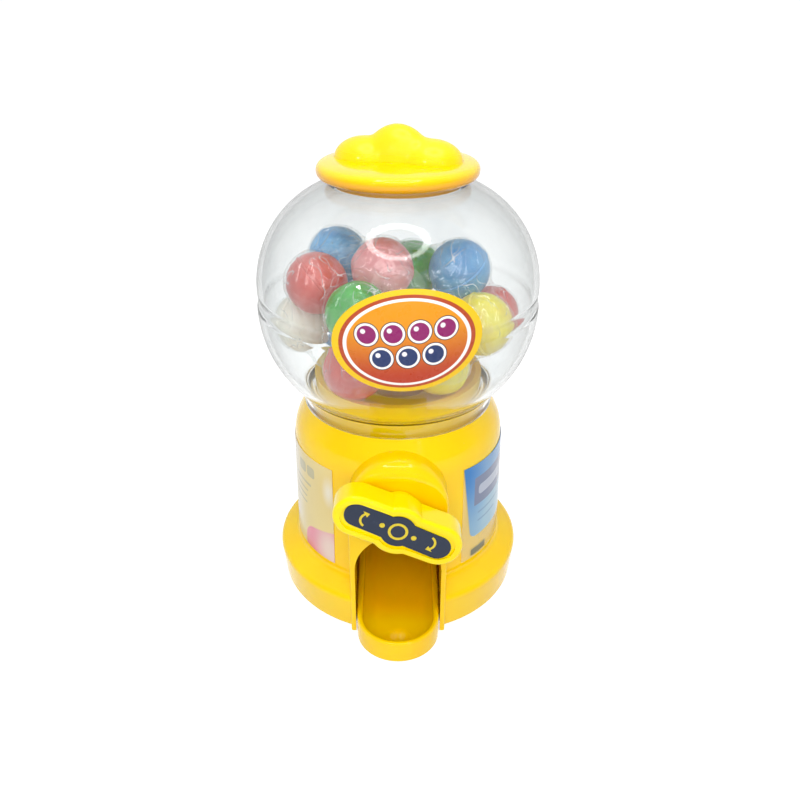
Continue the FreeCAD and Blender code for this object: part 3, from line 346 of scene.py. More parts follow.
inner_yellow = yellow_plastic("inner_yellow", paint(255, 212, 0), paint(252, 200, 0), 0.2, specular=0.15)
for name in ("hopper", "drum_cradle", "dispensing_drum"):
    finish_node(name, inner_yellow)
finish_node("cradle_screws", steel)


# Gumballs
# Panned sugar balls, 16 mm, pressed from two halves, so each has a low seam round it. The
# shell is coloured sugar with a waxy shine, powdery patches and small dents.

BALL = 0.016
THROAT = Vector((0.0, 0.0, 0.061))  # middle of the funnel's throat

# Where the balls lie, in ball widths from the throat.
GUMBALLS = {
    "red": ((-1.31, -0.44, 2.06), (1.59, 0.03, 1.31), (-0.69, -1.10, 0.84)),
    "blue": ((1.00, -0.25, 2.22), (-1.03, 0.51, 2.22), (-0.81, 0.56, 0.72)),
    "green": ((-0.62, -1.25, 1.85), (0.25, 0.62, 1.94)),
    "yellow": ((1.31, -0.94, 1.56), (0.69, -0.78, 0.75)),
    "pink": ((-0.25, -0.40, 2.29), (0.62, 0.87, 0.76)),
    "white": ((-1.65, 0.0, 1.19), (0.06, -0.19, 1.31)),
}

# The way each ball lies: its seam's tilt to the front and to the side, in degrees.
SEAMS = {
    "red": ((-28, 52), (20, -60), (75, 10)),
    "blue": ((12, -32), (35, 50), (-30, 25)),
    "green": ((64, -20), (15, 70)),
    "yellow": ((40, 62), (80, -30)),
    "pink": ((-62, 8), (-45, 40)),
    "white": ((70, 48), (-25, -55)),
}

# The palest and the deepest tone of each colour.
SUGAR = {
    "red": (paint(228, 92, 78), paint(210, 62, 50)),
    "blue": (paint(104, 182, 232), paint(62, 148, 212)),
    "green": (paint(66, 190, 56), paint(34, 156, 36)),
    "yellow": (paint(255, 240, 56), paint(250, 222, 24)),
    "pink": (paint(250, 178, 180), paint(240, 142, 146)),
    "white": (paint(250, 244, 230), paint(240, 230, 210)),
}


def spun(mesh, profile, steps):
    """Turn a line of (radius, height) points about Z, and return the vertices made."""
    before = set(mesh.verts)
    line = [mesh.verts.new((radius, 0.0, height)) for radius, height in profile]
    edges = [mesh.edges.new(pair) for pair in zip(line, line[1:])]
    bmesh.ops.spin(mesh, geom=line + edges, axis=(0, 0, 1), cent=(0, 0, 0), angle=math.tau,
                   steps=steps, use_merge=True, use_duplicate=False)
    return [vert for vert in mesh.verts if vert not in before]


# The seam's relief: degrees below the ball's middle, and the lift there.
SEAM_RELIEF = ((-7.0, 0.0), (-5.0, -0.00004), (-3.6, -0.00012),
               (-2.6, 0.00006), (-1.6, 0.00020), (0.0, 0.00024))


def ball_profile(radius):
    """Half a ball's outline from pole to pole, with the low seam and the nick each side of it."""
    relief = [(-90 + 5 * step, 0.0) for step in range(17)] + list(SEAM_RELIEF)
    polar = [(math.radians(turn), radius + lift) for turn, lift in relief]
    half = [(reach * math.cos(turn), reach * math.sin(turn)) for turn, reach in polar]
    return half + [(x, -z) for x, z in reversed(half[:-1])]


def sugar_shell(name, pale, deep):
    """Coloured sugar: uneven colour, powdery bloom, dents, and a waxy shine that it breaks."""
    finish, shader, spot = start_finish(name)
    uneven = spot.cloud(150.0, 4.0, 0.6).step(0.3, 0.7)
    bloom = spot.cloud(420.0, 5.0, 0.7).step(0.56, 0.80)
    crazing = spot.node("TexVoronoi", {"feature": "DISTANCE_TO_EDGE"}, {"Vector": spot, "Scale": 330.0})
    crackle = 1 - crazing.step(0.0, 0.05)
    skin = uneven.tint(pale, deep)
    (bloom * 0.30 + crackle * 0.06).tint(skin, paint(246, 240, 236)).into(shader, "Base Color")
    (0.30 + bloom * 0.3 + uneven * 0.1).into(shader, "Roughness")
    dents = spot.cloud(520.0, 3.0) * 0.8 + crazing.step(0.0, 0.12) * 0.2
    bumped(spot, 0.3, 0.00012, dents).into(shader, "Normal")
    shader.inputs["Subsurface Weight"].default_value = 0.1
    shader.inputs["Subsurface Radius"].default_value = (1.0, 0.8, 0.7)
    shader.inputs["Subsurface Scale"].default_value = 0.001
    return finish


for colour, places in GUMBALLS.items():
    balls = bmesh.new()
    for place, (forward, sideways) in zip(places, SEAMS[colour]):
        ball = spun(balls, ball_profile(BALL / 2), 64)
        lie = Matrix.Rotation(math.radians(forward), 4, "X") @ Matrix.Rotation(math.radians(sideways), 4, "Y")
        carry = Matrix.Translation(Vector(place) * BALL + THROAT)
        bmesh.ops.transform(balls, matrix=carry @ lie, verts=ball)
    tidy(balls)
    sugar = sugar_shell(f"{colour}_sugar", *SUGAR[colour])
    piece = link_piece(f"{colour}_gumballs", balls, sugar, "base")
    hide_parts(f"gumballs_{colour}")


# Bag
# The thin clear film bag that the balls are packed in, left open below so that they can run
# into the funnel. Cast film, drawn loosely over the balls, with sharp creases that catch light, and painted
# white highlights along a few of them.

BAG_ROOM = 0.0005  # least room between the film and a ball
BAG_GRAIN = 0.0011  # size of the mesh that takes the creases
BAG_SAG, SAG_ROUNDS = 0.00022, 14  # how far the film sinks in a round, and how often
CREASE = 0.0007  # height of its creases
BAG_START, BAG_MOUTH = THROAT.z + 0.0085, THROAT.z + 0.0105  # lower edge before and after it is shaped

ball_middles = [Vector(place) * BALL + THROAT for places in GUMBALLS.values() for place in places]


def even_skin(mesh, grain):
    """Turn what the mesh holds into one closed skin of even small faces."""
    rough_data = bpy.data.meshes.new("rough_skin")
    mesh.to_mesh(rough_data)
    rough = bpy.data.objects.new("rough_skin", rough_data)
    bpy.context.scene.collection.objects.link(rough)
    even = rough.modifiers.new("even", "REMESH")
    even.mode = "VOXEL"
    even.voxel_size = grain
    finished = rough.evaluated_get(bpy.context.evaluated_depsgraph_get())
    even_data = bpy.data.meshes.new_from_object(finished)
    mesh.clear()
    mesh.from_mesh(even_data)
    bpy.data.objects.remove(rough)
    bpy.data.meshes.remove(rough_data)
    bpy.data.meshes.remove(even_data)


def relaxed(mesh, rounds):
    """Let the skin settle towards the middle of its neighbours."""
    for _ in range(rounds):
        bmesh.ops.smooth_vert(mesh, verts=mesh.verts, factor=0.5,
                              use_axis_x=True, use_axis_y=True, use_axis_z=True)


def cut_below(mesh, height):
    """Cut off what lies below a height, and leave the cut open."""
    bmesh.ops.bisect_plane(mesh, geom=mesh.verts[:] + mesh.edges[:] + mesh.faces[:], dist=1e-6,
                           plane_co=(0, 0, height), plane_no=(0, 0, 1), clear_inner=True)


def drawn_over(mesh):
    """The closed skin that spans the balls from outside."""
    for middle in ball_middles:
        bmesh.ops.create_icosphere(mesh, subdivisions=3, radius=BALL / 2 + BAG_ROOM * 2,
                                   matrix=Matrix.Translation(middle))
    bmesh.ops.delete(mesh, geom=mesh.edges[:] + mesh.faces[:], context="EDGES_FACES")
    hull = bmesh.ops.convex_hull(mesh, input=mesh.verts[:])
    within = [item for item in hull["geom_interior"] if isinstance(item, bmesh.types.BMVert)]
    bmesh.ops.delete(mesh, geom=within, context="VERTS")
    bmesh.ops.recalc_face_normals(mesh, faces=mesh.faces)


def kept_off(place):
    """The place, or the nearest one that keeps the film's room to every ball."""
    for middle in ball_middles:
        away = place - middle
        if away.length < BALL / 2 + BAG_ROOM:
            place = middle + away.normalized() * (BALL / 2 + BAG_ROOM)
    return place


def ridge(place, scale, seed):
    """1 on a thin wandering line, falling off to 0 beside it."""
    shift = Vector((seed, 0.7 * seed, 1.3 * seed))
    return max(0.0, 1.0 - 5.0 * abs(noise.noise(place * scale + shift)))


def bag_film():
    """Clear cast film: a thin haze, a mirror sheen broken by long crinkles, and painted white highlights
    along a few creases.
    """
    finish, shader, spot = start_finish("bag_film")
    tree = finish.node_tree

    def drawn(turn, scale, width):
        """Long lines that run one way, 1 along their middle."""
        wander = spot.stretched((1.0, 1.0, 0.06), turn).cloud(scale, 0.0)
        return 1 - abs(wander - 0.5).step(0.0, width)

    here = spot.cloud(110.0, 2.0).step(0.47, 0.60)
    there = spot.stretched((1.0, 1.0, 1.0), (1.0, 2.0, 0.5)).cloud(130.0, 2.0).step(0.47, 0.60)
    # painted highlight: thin white lines along a few creases
    painted_crease_highlight = drawn((0.5, 0.3, 0.0), 190.0, 0.014) * here | drawn((-0.2, -0.9, 0.4), 210.0, 0.014) * there
    folds = drawn((0.4, 0.4, 0.0), 150.0, 0.16) * 0.5 + drawn((-0.3, -0.8, 0.4), 230.0, 0.16) * 0.35
    folds = folds + drawn((0.1, 0.9, 0.9), 420.0, 0.2) * 0.15
    haze = spot.cloud(60.0, 4.0, 0.6).step(0.42, 0.72)
    slant = spot.node("LayerWeight", {}, {"Blend": 0.5}, 1)
    painted_crease_highlight.tint(paint(240, 243, 245), paint(255, 255, 255)).into(shader, "Base Color")
    (0.10 + spot.cloud(500.0, 3.0) * 0.12).into(shader, "Roughness")
    crinkled = bumped(spot, 1.0, 0.0010, folds)
    crinkled.into(shader, "Normal")
    clear = spot.node("BsdfTransparent", {}, {"Color": paint(252, 253, 253)})
    sheen = spot.node("BsdfGlossy", {},
                      {"Color": paint(255, 255, 255), "Roughness": 0.07, "Normal": crinkled})
    skin = spot.node("MixShader", {}, {0: 0.06 + slant ** 3 * 0.34, 1: clear, 2: sheen})
    # the film covers more where it hazes, and most on the painted crease highlights
    cover = 0.02 + haze * 0.12 + painted_crease_highlight * 0.5
    film = spot.node("MixShader", {}, {0: cover, 1: skin, 2: Value(tree, shader.outputs[0])})
    film.into(tree.nodes["Material Output"], "Surface")
    return finish


bag = bmesh.new()
drawn_over(bag)
even_skin(bag, BAG_GRAIN)
cut_below(bag, BAG_START)
for _ in range(SAG_ROUNDS):
    for vert in bag.verts:
        vert.co = kept_off(vert.co - vert.normal * BAG_SAG)
    relaxed(bag, 1)
    bag.normal_update()
for vert in bag.verts:
    lift = 0.9 * ridge(vert.co, 95.0, 3.0) + 0.6 * ridge(vert.co, 190.0, 8.0) - 0.35
    vert.co = kept_off(vert.co + vert.normal * lift * CREASE)
relaxed(bag, 2)
for vert in bag.verts:
    vert.co = kept_off(vert.co)
cut_below(bag, BAG_MOUTH)
for face in bag.faces:
    face.smooth = True
film_bag = link_piece("film_bag", bag, bag_film(), "base")


# Globe
# The clear bowl and the clear dome over it, welded at a shallow waist. Moulded styrene, pressed
# into the pedestal's shoulder, with slow waves in its wall, smears and handling scuffs.

GLOBE_WALL = 0.0014
BELLY = (0.00511, 0.0870, 0.03259)  # radius and height of the middle of the lower round, and its size
CROWN = (0.00950, 0.0918, 0.02800)  # the same for the upper round
WAIST_DIP = 0.0004
NECK = (0.0266, 0.0584)  # radius of the neck, and height of the collar that it stands on
NECK_TOP, NECK_ROUND = 0.0625, 0.0014  # where the neck meets the lower round, and the radius there
SPIGOT = (0.0253, 0.0241)  # outside and bore of the spigot in the collar
MOUTH = (0.0177, 0.0162, 0.1198)  # outside, bore and height of the mouth


def on_round(middle, inset, first, last, steps):
    """Points on the wall between two radii of one round, on a skin set in from the outside."""
    radius, height, size = middle
    size -= inset
    half = -1 if middle is BELLY else 1
    low, high = (half * math.acos((reach - radius) / size) for reach in (first, last))
    turns = [low + (high - low) * step / steps for step in range(steps + 1)]
    return [(radius + size * math.cos(turn), height + size * math.sin(turn)) for turn in turns]


def waist(inset):
    """Points across the shallow dip between the two rounds."""
    low, high = (BELLY[0] + BELLY[2], BELLY[1]), (CROWN[0] + CROWN[2], CROWN[1])
    shares = [step / 16 for step in range(1, 16)]
    dips = [inset + WAIST_DIP * math.sin(math.pi * share) ** 2 for share in shares]
    return [(low[0] + (high[0] - low[0]) * share - dip, low[1] + (high[1] - low[1]) * share)
            for share, dip in zip(shares, dips)]


def globe_outline(foot):
    """The whole wall as one closed line, up the outside and down the inside."""
    widest = BELLY[0] + BELLY[2]
    band = CROWN[0] + CROWN[2]
    outside = [(SPIGOT[0], foot), (SPIGOT[0], NECK[1]), (NECK[0], NECK[1])]
    outside += on_round(BELLY, 0.0, NECK[0], widest, 20)
    outside += waist(0.0)
    outside += on_round(CROWN, 0.0, band, MOUTH[0], 24) + [(MOUTH[0], MOUTH[2])]
    inside = [(MOUTH[1], MOUTH[2])] + on_round(CROWN, GLOBE_WALL, MOUTH[1], band - GLOBE_WALL, 24)
    inside += reversed(waist(GLOBE_WALL))
    inside += on_round(BELLY, GLOBE_WALL, widest - GLOBE_WALL, SPIGOT[1], 20) + [(SPIGOT[1], foot)]
    return outside + inside + outside[:1]


def rounded(mesh, edges, size, segments):
    """Round edges off."""
    bmesh.ops.bevel(mesh, geom=edges, offset=size, offset_type="OFFSET", segments=segments,
                    profile=0.5, affect="EDGES", material=-1)


def seen_by(tree, *rays):
    """1 for the named kinds of ray, and 0 for others."""
    kinds = tree.nodes.new("ShaderNodeLightPath").outputs
    seen = Value(tree, kinds[rays[0]])
    for ray in rays[1:]:
        seen = seen | Value(tree, kinds[ray])
    return seen


def clear_plastic():
    """Clear styrene: slow waves, smears, hairline scuffs, and milky where the wall is seen along.

    To shadows and to light between other pieces it is bare, as thin clear plastic is."""
    finish, shader, spot = start_finish("clear_styrene")
    tree = finish.node_tree
    smear = spot.cloud(42.0, 5.0, 0.62).step(0.42, 0.80)
    scuff = spot.stretched((1.0, 14.0, 1.0), (0.4, 0.9, 0.2)).cloud(420.0, 2.0).step(0.66, 0.72)
    (0.02 + smear * 0.03 + scuff * 0.06).into(shader, "Roughness")
    waves = spot.cloud(30.0, 1.0) * 0.8 + spot.cloud(120.0, 2.0) * 0.2
    bumped(spot, 0.12, 0.0005, waves).into(shader, "Normal")
    smear.tint(paint(248, 250, 250), paint(242, 245, 246)).into(shader, "Base Color")
    shader.inputs["Transmission Weight"].default_value = 1.0
    shader.inputs["IOR"].default_value = 1.4
    up = spot.axes()[2]
    edge = spot.node("LayerWeight", {}, {"Blend": 0.5}, 1)
    veil = (0.010 + edge ** 2.2 * 0.42 + smear * 0.03) * up.step(0.0640, 0.0770)
    milk = spot.node("BsdfDiffuse", {}, {"Color": paint(138, 141, 139)})
    glass = Value(tree, shader.outputs[0])
    clouded = veil.node("MixShader", {}, {0: veil, 1: glass, 2: milk})
    passing = seen_by(tree, "Is Shadow Ray", "Is Diffuse Ray")
    bare = passing.node("BsdfTransparent", {}, {"Color": paint(246, 248, 248)})
    wall = passing.node("MixShader", {}, {0: passing, 1: clouded, 2: bare})
    wall.into(tree.nodes["Material Output"], "Surface")
    return finish


shell = bmesh.new()
spun(shell, globe_outline(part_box("globe_bowl")[0][2]), 128)
tidy(shell)
on_neck = {vert for vert in shell.verts
           if abs(vert.co.z - NECK_TOP) < 0.0002 and vert.co.xy.length > NECK[0] - 0.0004}
rounded(shell, [edge for edge in shell.edges if on_neck.issuperset(edge.verts)], NECK_ROUND, 5)
tidy(shell)
globe = link_piece("globe_shell", shell, clear_plastic(), "base")
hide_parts("globe_bowl", "globe_dome")


# Oval label
# Printed film stuck on the front of the globe: a yellow border, a brown-orange band, a white
# line and an amber field with two rows of sugar drops.

OVAL = Vector((0.0021, 0.0, 0.0904))  # middle of the oval
OVAL_HALF = (0.0175, 0.0125)
OVAL_TILT = math.radians(4)
DROP_PITCH, DROP_RADIUS = 0.0061, 0.0022
FILM_GAP, FILM = 0.00006, 0.00015  # room under the film, and its thickness


def globe_front(across, up):
    """A place on the film's back, which follows the globe's front and bridges its waist."""
    low, high = BELLY[0] + BELLY[2], CROWN[0] + CROWN[2]
    if up < BELLY[1]:
        radius = BELLY[0] + math.sqrt(BELLY[2] ** 2 - (BELLY[1] - up) ** 2)
    elif up > CROWN[1]:
        radius = CROWN[0] + math.sqrt(CROWN[2] ** 2 - (up - CROWN[1]) ** 2)
    else:
        radius = low + (high - low) * (up - BELLY[1]) / (CROWN[1] - BELLY[1])
    return Vector((across, -math.sqrt((radius + FILM_GAP) ** 2 - across ** 2), up))


def oval_print():
    """Glossy printed film: the oval's rings, its field and the drops."""
    finish, shader, spot = start_finish("oval_print")
    flat = spot.node("Mapping", {"vector_type": "TEXTURE"},
                     {0: spot, "Location": OVAL, "Rotation": (0, -OVAL_TILT, 0)})
    across, _, up = flat.axes()
    ring = ((across / OVAL_HALF[0]) ** 2 + (up / OVAL_HALF[1]) ** 2) ** 0.5
    field = up.step(-0.009, 0.007).tint(paint(184, 56, 18), paint(234, 150, 6))

    def row(height, count, ink, base):
        """A row of round drops with a white edge, a thin dark outline and a small shine."""
        half, radius = DROP_PITCH / 2, DROP_RADIUS
        along = across.math("WRAP", across + half * (1 - count % 2), half, -half)
        inside = 1 - abs(across).step(half * count - 0.00001, half * count + 0.00001)
        far = (along ** 2 + (up - height) ** 2) ** 0.5
        shine = ((along + radius * 0.35) ** 2 + (up - height - radius * 0.38) ** 2) ** 0.5
        outline = (1 - far.step(radius + 0.0007, radius + 0.0008)) & inside
        edge = (1 - far.step(radius + 0.0005, radius + 0.0006)) & inside
        drop = (1 - far.step(radius - 0.00005, radius + 0.00005)) & inside
        marked = outline.tint(base, paint(44, 34, 40))
        marked = drop.tint(edge.tint(marked, paint(248, 246, 244)), ink)
        return ((1 - shine.step(radius * 0.2, radius * 0.32)) & inside).tint(marked, paint(250, 244, 250))

    art = row(0.0028, 4, paint(140, 8, 98), field)
    art = row(-0.0031, 3, paint(24, 46, 98), art)
    art = ring.step(0.795, 0.805).tint(art, paint(248, 246, 242))
    art = ring.step(0.845, 0.855).tint(art, paint(180, 68, 24))
    art = ring.step(0.905, 0.915).tint(art, paint(242, 198, 4))
    (spot.cloud(900.0, 3.0) * 0.03).tint(art, paint(255, 255, 255)).into(shader, "Base Color")
    (0.22 + spot.cloud(400.0, 4.0) * 0.14).into(shader, "Roughness")
    bumped(spot, 0.2, 0.00008, spot.cloud(180.0, 3.0)).into(shader, "Normal")
    shader.inputs["Specular IOR Level"].default_value = 0.3
    return finish


sticker = bmesh.new()
spun(sticker, [(step / 24, 0.0) for step in range(25)], 96)
bmesh.ops.remove_doubles(sticker, verts=sticker.verts, dist=1e-7)
for vert in sticker.verts:
    along, over = vert.co.x * OVAL_HALF[0], vert.co.y * OVAL_HALF[1]
    vert.co = globe_front(OVAL.x + along * math.cos(OVAL_TILT) - over * math.sin(OVAL_TILT),
                          OVAL.z + along * math.sin(OVAL_TILT) + over * math.cos(OVAL_TILT))
for face in sticker.faces:
    if face.normal.y > 0:
        face.normal_flip()
sticker.normal_update()
bmesh.ops.solidify(sticker, geom=sticker.faces[:], thickness=-FILM)
tidy(sticker)
label = link_piece("oval_label", sticker, oval_print(), "base")
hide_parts("globe_label")


# Side labels
# Clear printed film round both sides of the wall: a blue panel to the right, and a cream
# ground with a rosy panel to the left, each with a few plain bars.

WALL = 0.0303  # radius of the wall that the films lie on


def film_place(spot):
    """On the wall's film, in metres: the way round from the front to the right, and the height."""
    x, y, z = spot.axes()
    return x.math("ARCTAN2", x, 0 - y) * WALL, z


def panel(across, up, sides, ends, corner=0.0005, soft=0.0001):
    """A printed panel with rounded corners, as a mask."""
    (left, right), (low, high) = sides, ends
    out = abs(across - (left + right) / 2) - ((right - left) / 2 - corner)
    over = abs(up - (low + high) / 2) - ((high - low) / 2 - corner)
    far = ((out | 0.0) ** 2 + (over | 0.0) ** 2) ** 0.5
    return 1 - far.step(corner - soft, corner + soft)


def finish_film(finish, shader, spot, colour, cover):
    """The film's own wrinkles, gloss and see-through ground under its print."""
    colour.into(shader, "Base Color")
    cover.into(shader, "Alpha")
    (0.12 + spot.cloud(260.0, 4.0) * 0.12).into(shader, "Roughness")
    wrinkle = spot.stretched((1.0, 1.0, 0.3)).cloud(190.0, 3.0)
    bumped(spot, 0.3, 0.0003, wrinkle).into(shader, "Normal")
    return finish


def blue_film():
    """A blue panel, paler below and to the right, with a slate inset, two lines and a foot bar."""
    finish, shader, spot = start_finish("blue_film_print")
    across, up = film_place(spot)
    leaning = across - (0.0466 - up) * 0.13
    block = panel(leaning, up, (0.0192, 0.0590), (0.0232, 0.0600), 0.0022)
    pale = (leaning.step(0.0195, 0.0300) * 0.45 + (1 - up.step(0.0240, 0.0460)) * 0.75) & 1.0
    sky = pale.tint(paint(18, 120, 196), paint(152, 192, 214))
    inset = panel(across, up, (0.0234, 0.0470), (0.0338, 0.0430), 0.0003)
    band = panel(across, up, (0.0252, 0.0400), (0.0368, 0.0400), 0.0012)
    lines = panel(across, up, (0.0250, 0.0380), (0.0306, 0.0312))
    lines = lines | panel(across, up, (0.0250, 0.0350), (0.0278, 0.0284))
    foot = panel(across, up, (0.0226, 0.0294), (0.0168, 0.0190), 0.0003)
    colour = block.tint(paint(250, 234, 160), sky)
    colour = inset.tint(colour, paint(112, 124, 156))
    colour = (band * 0.55).tint(colour, paint(214, 222, 236))
    colour = (lines * 0.5).tint(colour, paint(96, 126, 168))
    colour = foot.tint(colour, paint(110, 110, 84))
    return finish_film(finish, shader, spot, colour, 0.36 + (block | foot) * 0.60)


def cream_film():
    """A cream ground with a painted highlight, two blocks over four lines, and a rosy panel below."""
    finish, shader, spot = start_finish("cream_film_print")
    across, up = film_place(spot)
    across = 0 - across
    leaning = up + (across - 0.019) * 0.25
    patch = panel(across, leaning, (0.0000, 0.0322), (0.0000, 0.0264), 0.0040, 0.0003)
    glow = ((across - 0.0208) ** 2 + ((up - 0.0198) * 0.7) ** 2) ** 0.5
    bars = panel(across, up, (0.0264, 0.0302), (0.0410, 0.0444), 0.0008)
    bars = bars | panel(across, up, (0.0310, 0.0352), (0.0410, 0.0444), 0.0008)
    for sides, ends in (((0.0282, 0.0390), (0.0376, 0.0384)), ((0.0300, 0.0410), (0.0352, 0.0358)),
                        ((0.0308, 0.0420), (0.0330, 0.0336)), ((0.0308, 0.0400), (0.0308, 0.0314))):
        bars = bars | panel(across, up, sides, ends)
    # painted highlight: a pale shine on the film near its top
    shine = 1 - (((across - 0.0205) * 1.5) ** 2 + ((up - 0.0395) * 0.8) ** 2) ** 0.5 / 0.0050
    colour = spot.cloud(90.0, 3.0).tint(paint(246, 228, 160), paint(242, 220, 148))
    colour = (across.step(0.0300, 0.0400) * 0.7).tint(colour, paint(246, 242, 230))
    colour = (shine.step(0.0, 1.0) * 0.7).tint(colour, paint(252, 250, 244))
    colour = (bars * 0.6).tint(colour, paint(140, 146, 132))
    rosy = glow.step(0.0006, 0.0085).tint(paint(230, 208, 198), paint(228, 136, 158))
    colour = patch.tint(colour, rosy)
    return finish_film(finish, shader, spot, colour, 0.80 + (patch | bars) * 0.16)


finish_node("right_label", blue_film())
finish_node("left_label", cream_film())


# Knob
# The winged knob that turns the drum: a yellow moulding on a square drive, held by one screw
# under its face plate.

finish_node("knob", yellow_plastic("knob_yellow", paint(255, 230, 0), paint(254, 220, 0), 0.07))
finish_node("knob_screw", steel)


# Face plate
# A navy plate set into the knob's face, with two printed yellow turning arrows, and a plain
# ring between two dots in the middle.

AXIS = 0.0426  # height of the knob's axis
PLATE_TURN = math.radians(27)
INK = 0.00004  # thickness of the printed ink
INK_ROOM = 0.00001  # room between the ink and the plate
ARROW_RADIUS, ARROW_WIDTH, ARROW_POINT = 0.0021, 0.0006, 34  # the point's length is in degrees


def plate_paint():
    """Satin navy paint with a fine eggshell and a few light rubs."""
    finish, shader, spot = start_finish("navy_paint")
    rub = spot.cloud(500.0, 5.0, 0.7).step(0.55, 0.85)
    rub.tint(paint(37, 47, 67), paint(52, 62, 82)).into(shader, "Base Color")
    (0.34 + rub * 0.2 + spot.cloud(1500.0, 2.0) * 0.06).into(shader, "Roughness")
    bumped(spot, 0.25, 0.00003, spot.cloud(1900.0, 2.0)).into(shader, "Normal")
    shader.inputs["Specular IOR Level"].default_value = 0.3
    return finish


def arrow_ink():
    """Screen-printed yellow, a little thin where the mesh of the screen shows."""
    finish, shader, spot = start_finish("arrow_ink")
    thin = spot.cloud(2400.0, 2.0).step(0.4, 0.8)
    thin.tint(paint(224, 200, 40), paint(200, 176, 40)).into(shader, "Base Color")
    (0.34 + thin * 0.16).into(shader, "Roughness")
    return finish


def facing(degrees):
    """The way from a middle on the plate's face, anticlockwise from the right."""
    turn = math.radians(degrees)
    return Vector((math.cos(turn), 0.0, math.sin(turn)))


def printed_band(mesh, middle, radius, width, first, sweep, steps):
    """A flat band round a middle on the plate's face, from one angle on, in degrees."""
    ends = [mesh.verts.new(middle + facing(first) * (radius + side * width / 2)) for side in (-1, 1)]
    bmesh.ops.spin(mesh, geom=ends + [mesh.edges.new(ends)], axis=(0, -1, 0), cent=middle,
                   angle=math.radians(sweep), steps=steps, use_merge=abs(sweep) == 360, use_duplicate=False)


def printed_arrow(mesh, middle, tail, head):
    """A curved arrow that turns clockwise round a middle, from one angle to another."""
    printed_band(mesh, middle, ARROW_RADIUS, ARROW_WIDTH, tail, head - tail, 10)
    corners = [(head, ARROW_RADIUS + ARROW_WIDTH * 1.7), (head, ARROW_RADIUS - ARROW_WIDTH * 1.7),
               (head - ARROW_POINT, ARROW_RADIUS - ARROW_WIDTH * 0.1)]
    tip = [mesh.verts.new(middle + facing(turn) * reach) for turn, reach in corners]
    bmesh.ops.contextual_create(mesh, geom=tip)


finish_node("knob_plate", plate_paint())

marks = bmesh.new()
printed_arrow(marks, Vector((-0.0080, 0.0, -0.0002)), 255, 140)
printed_arrow(marks, Vector((0.0080, 0.0, 0.0002)), 75, -40)
printed_band(marks, Vector((0.0, 0.0, 0.0)), 0.0022, 0.0007, 0, 360, 40)
upright = Matrix.Rotation(math.radians(90), 4, "X")
for across in (-0.0044, 0.0044):
    bmesh.ops.create_circle(marks, cap_ends=True, segments=24, radius=0.0007,
                            matrix=Matrix.Translation((across, 0.0, 0.0)) @ upright)
bmesh.ops.recalc_face_normals(marks, faces=marks.faces)
raised = bmesh.ops.extrude_face_region(marks, geom=marks.faces[:])["geom"]
bmesh.ops.translate(marks, vec=(0.0, -INK, 0.0),
                    verts=[item for item in raised if isinstance(item, bmesh.types.BMVert)])
bmesh.ops.recalc_face_normals(marks, faces=marks.faces)
plate_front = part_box("knob_plate")[0][1]
on_plate = Matrix.Translation((0.0, plate_front - INK_ROOM, AXIS)) @ Matrix.Rotation(PLATE_TURN, 4, "Y")
bmesh.ops.transform(marks, verts=marks.verts, matrix=on_plate)
link_piece("turning_arrows", marks, arrow_ink(), "dispenser")


# Lid
# The cap of the globe: a rimmed disc with a plug below and a winged grip on top, whose dome
# runs softly into the wings. Moulded in the brightest yellow of the set.

LID_LOW, LID_TOP = 0.1200, 0.1234  # heights of the rim's lower and upper edge
LID_OUT, LID_ROUND = 0.0206, 0.0015  # radius of the rim, and of its rounded edges
DISC = (0.0166, LID_TOP + 0.0007)  # radius and height of the flat within the rim
PLUG, PLUG_LOW, PLUG_ROOF = (0.01585, 0.01425), 0.1182, 0.1216  # outside and bore, and heights
GRIP_TURN = math.radians(-15)
GRIP_GRAIN, GRIP_ROUNDS = 0.0005, 26  # size of the grip's mesh, and how often it is smoothed
WING = (0.0083, 0.0066, 0.0060)  # half sizes of a wing, of which the lower half is cut away
DOME = (0.0088, 0.0056, 0.0093)
WING_SHIFT = 0.0086  # from the dome's middle to a wing's

cap = bmesh.new()
for shift, half in ((-WING_SHIFT, WING), (0.0, DOME), (WING_SHIFT, WING)):
    bulge = Matrix.Translation((shift, 0.0, LID_TOP)) @ Matrix.Diagonal((*half, 1.0))
    bmesh.ops.create_icosphere(cap, subdivisions=4, radius=1.0, matrix=bulge)
even_skin(cap, GRIP_GRAIN)
relaxed(cap, GRIP_ROUNDS)
cut_below(cap, LID_TOP)
bmesh.ops.holes_fill(cap, edges=[edge for edge in cap.edges if edge.is_boundary])
bmesh.ops.rotate(cap, verts=cap.verts, cent=(0, 0, 0), matrix=Matrix.Rotation(GRIP_TURN, 3, "Z"))
spun(cap, [(0.0, PLUG_ROOF), (PLUG[1], PLUG_ROOF), (PLUG[1], PLUG_LOW), (PLUG[0], PLUG_LOW),
           (PLUG[0], LID_LOW), (LID_OUT, LID_LOW), (LID_OUT, LID_TOP), DISC, (0.0, DISC[1])], 128)
tidy(cap)
rim = [edge for edge in cap.edges if all(vert.co.xy.length > LID_OUT - 1e-5 for vert in edge.verts)
       and abs(edge.verts[0].co.z - edge.verts[1].co.z) < 1e-6]
rounded(cap, rim, LID_ROUND, 6)
tidy(cap)


def rim_underside_shade(spot):
    """Painted shade on the underside of the rim, which the light reaches only through the plastic."""
    return 1 - spot.axes()[2].step(LID_LOW + 0.0010, LID_LOW + 0.0036)


def rubbed_grip(spot):
    """The grip above the polished disc, where fingers rub it."""
    return spot.axes()[2].step(LID_TOP + 0.0010, LID_TOP + 0.0030)


# painted shade: the rim's underside goes over to a deeper orange
lid_yellow = yellow_plastic("lid_yellow", paint(255, 226, 0), paint(255, 218, 0), 0.09,
                            paint(248, 176, 0), rim_underside_shade, specular=0.5)
lid_cap = link_piece("lid_cap", cap, dulled(lid_yellow, rubbed_grip, 0.2), "lid")
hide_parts("lid")


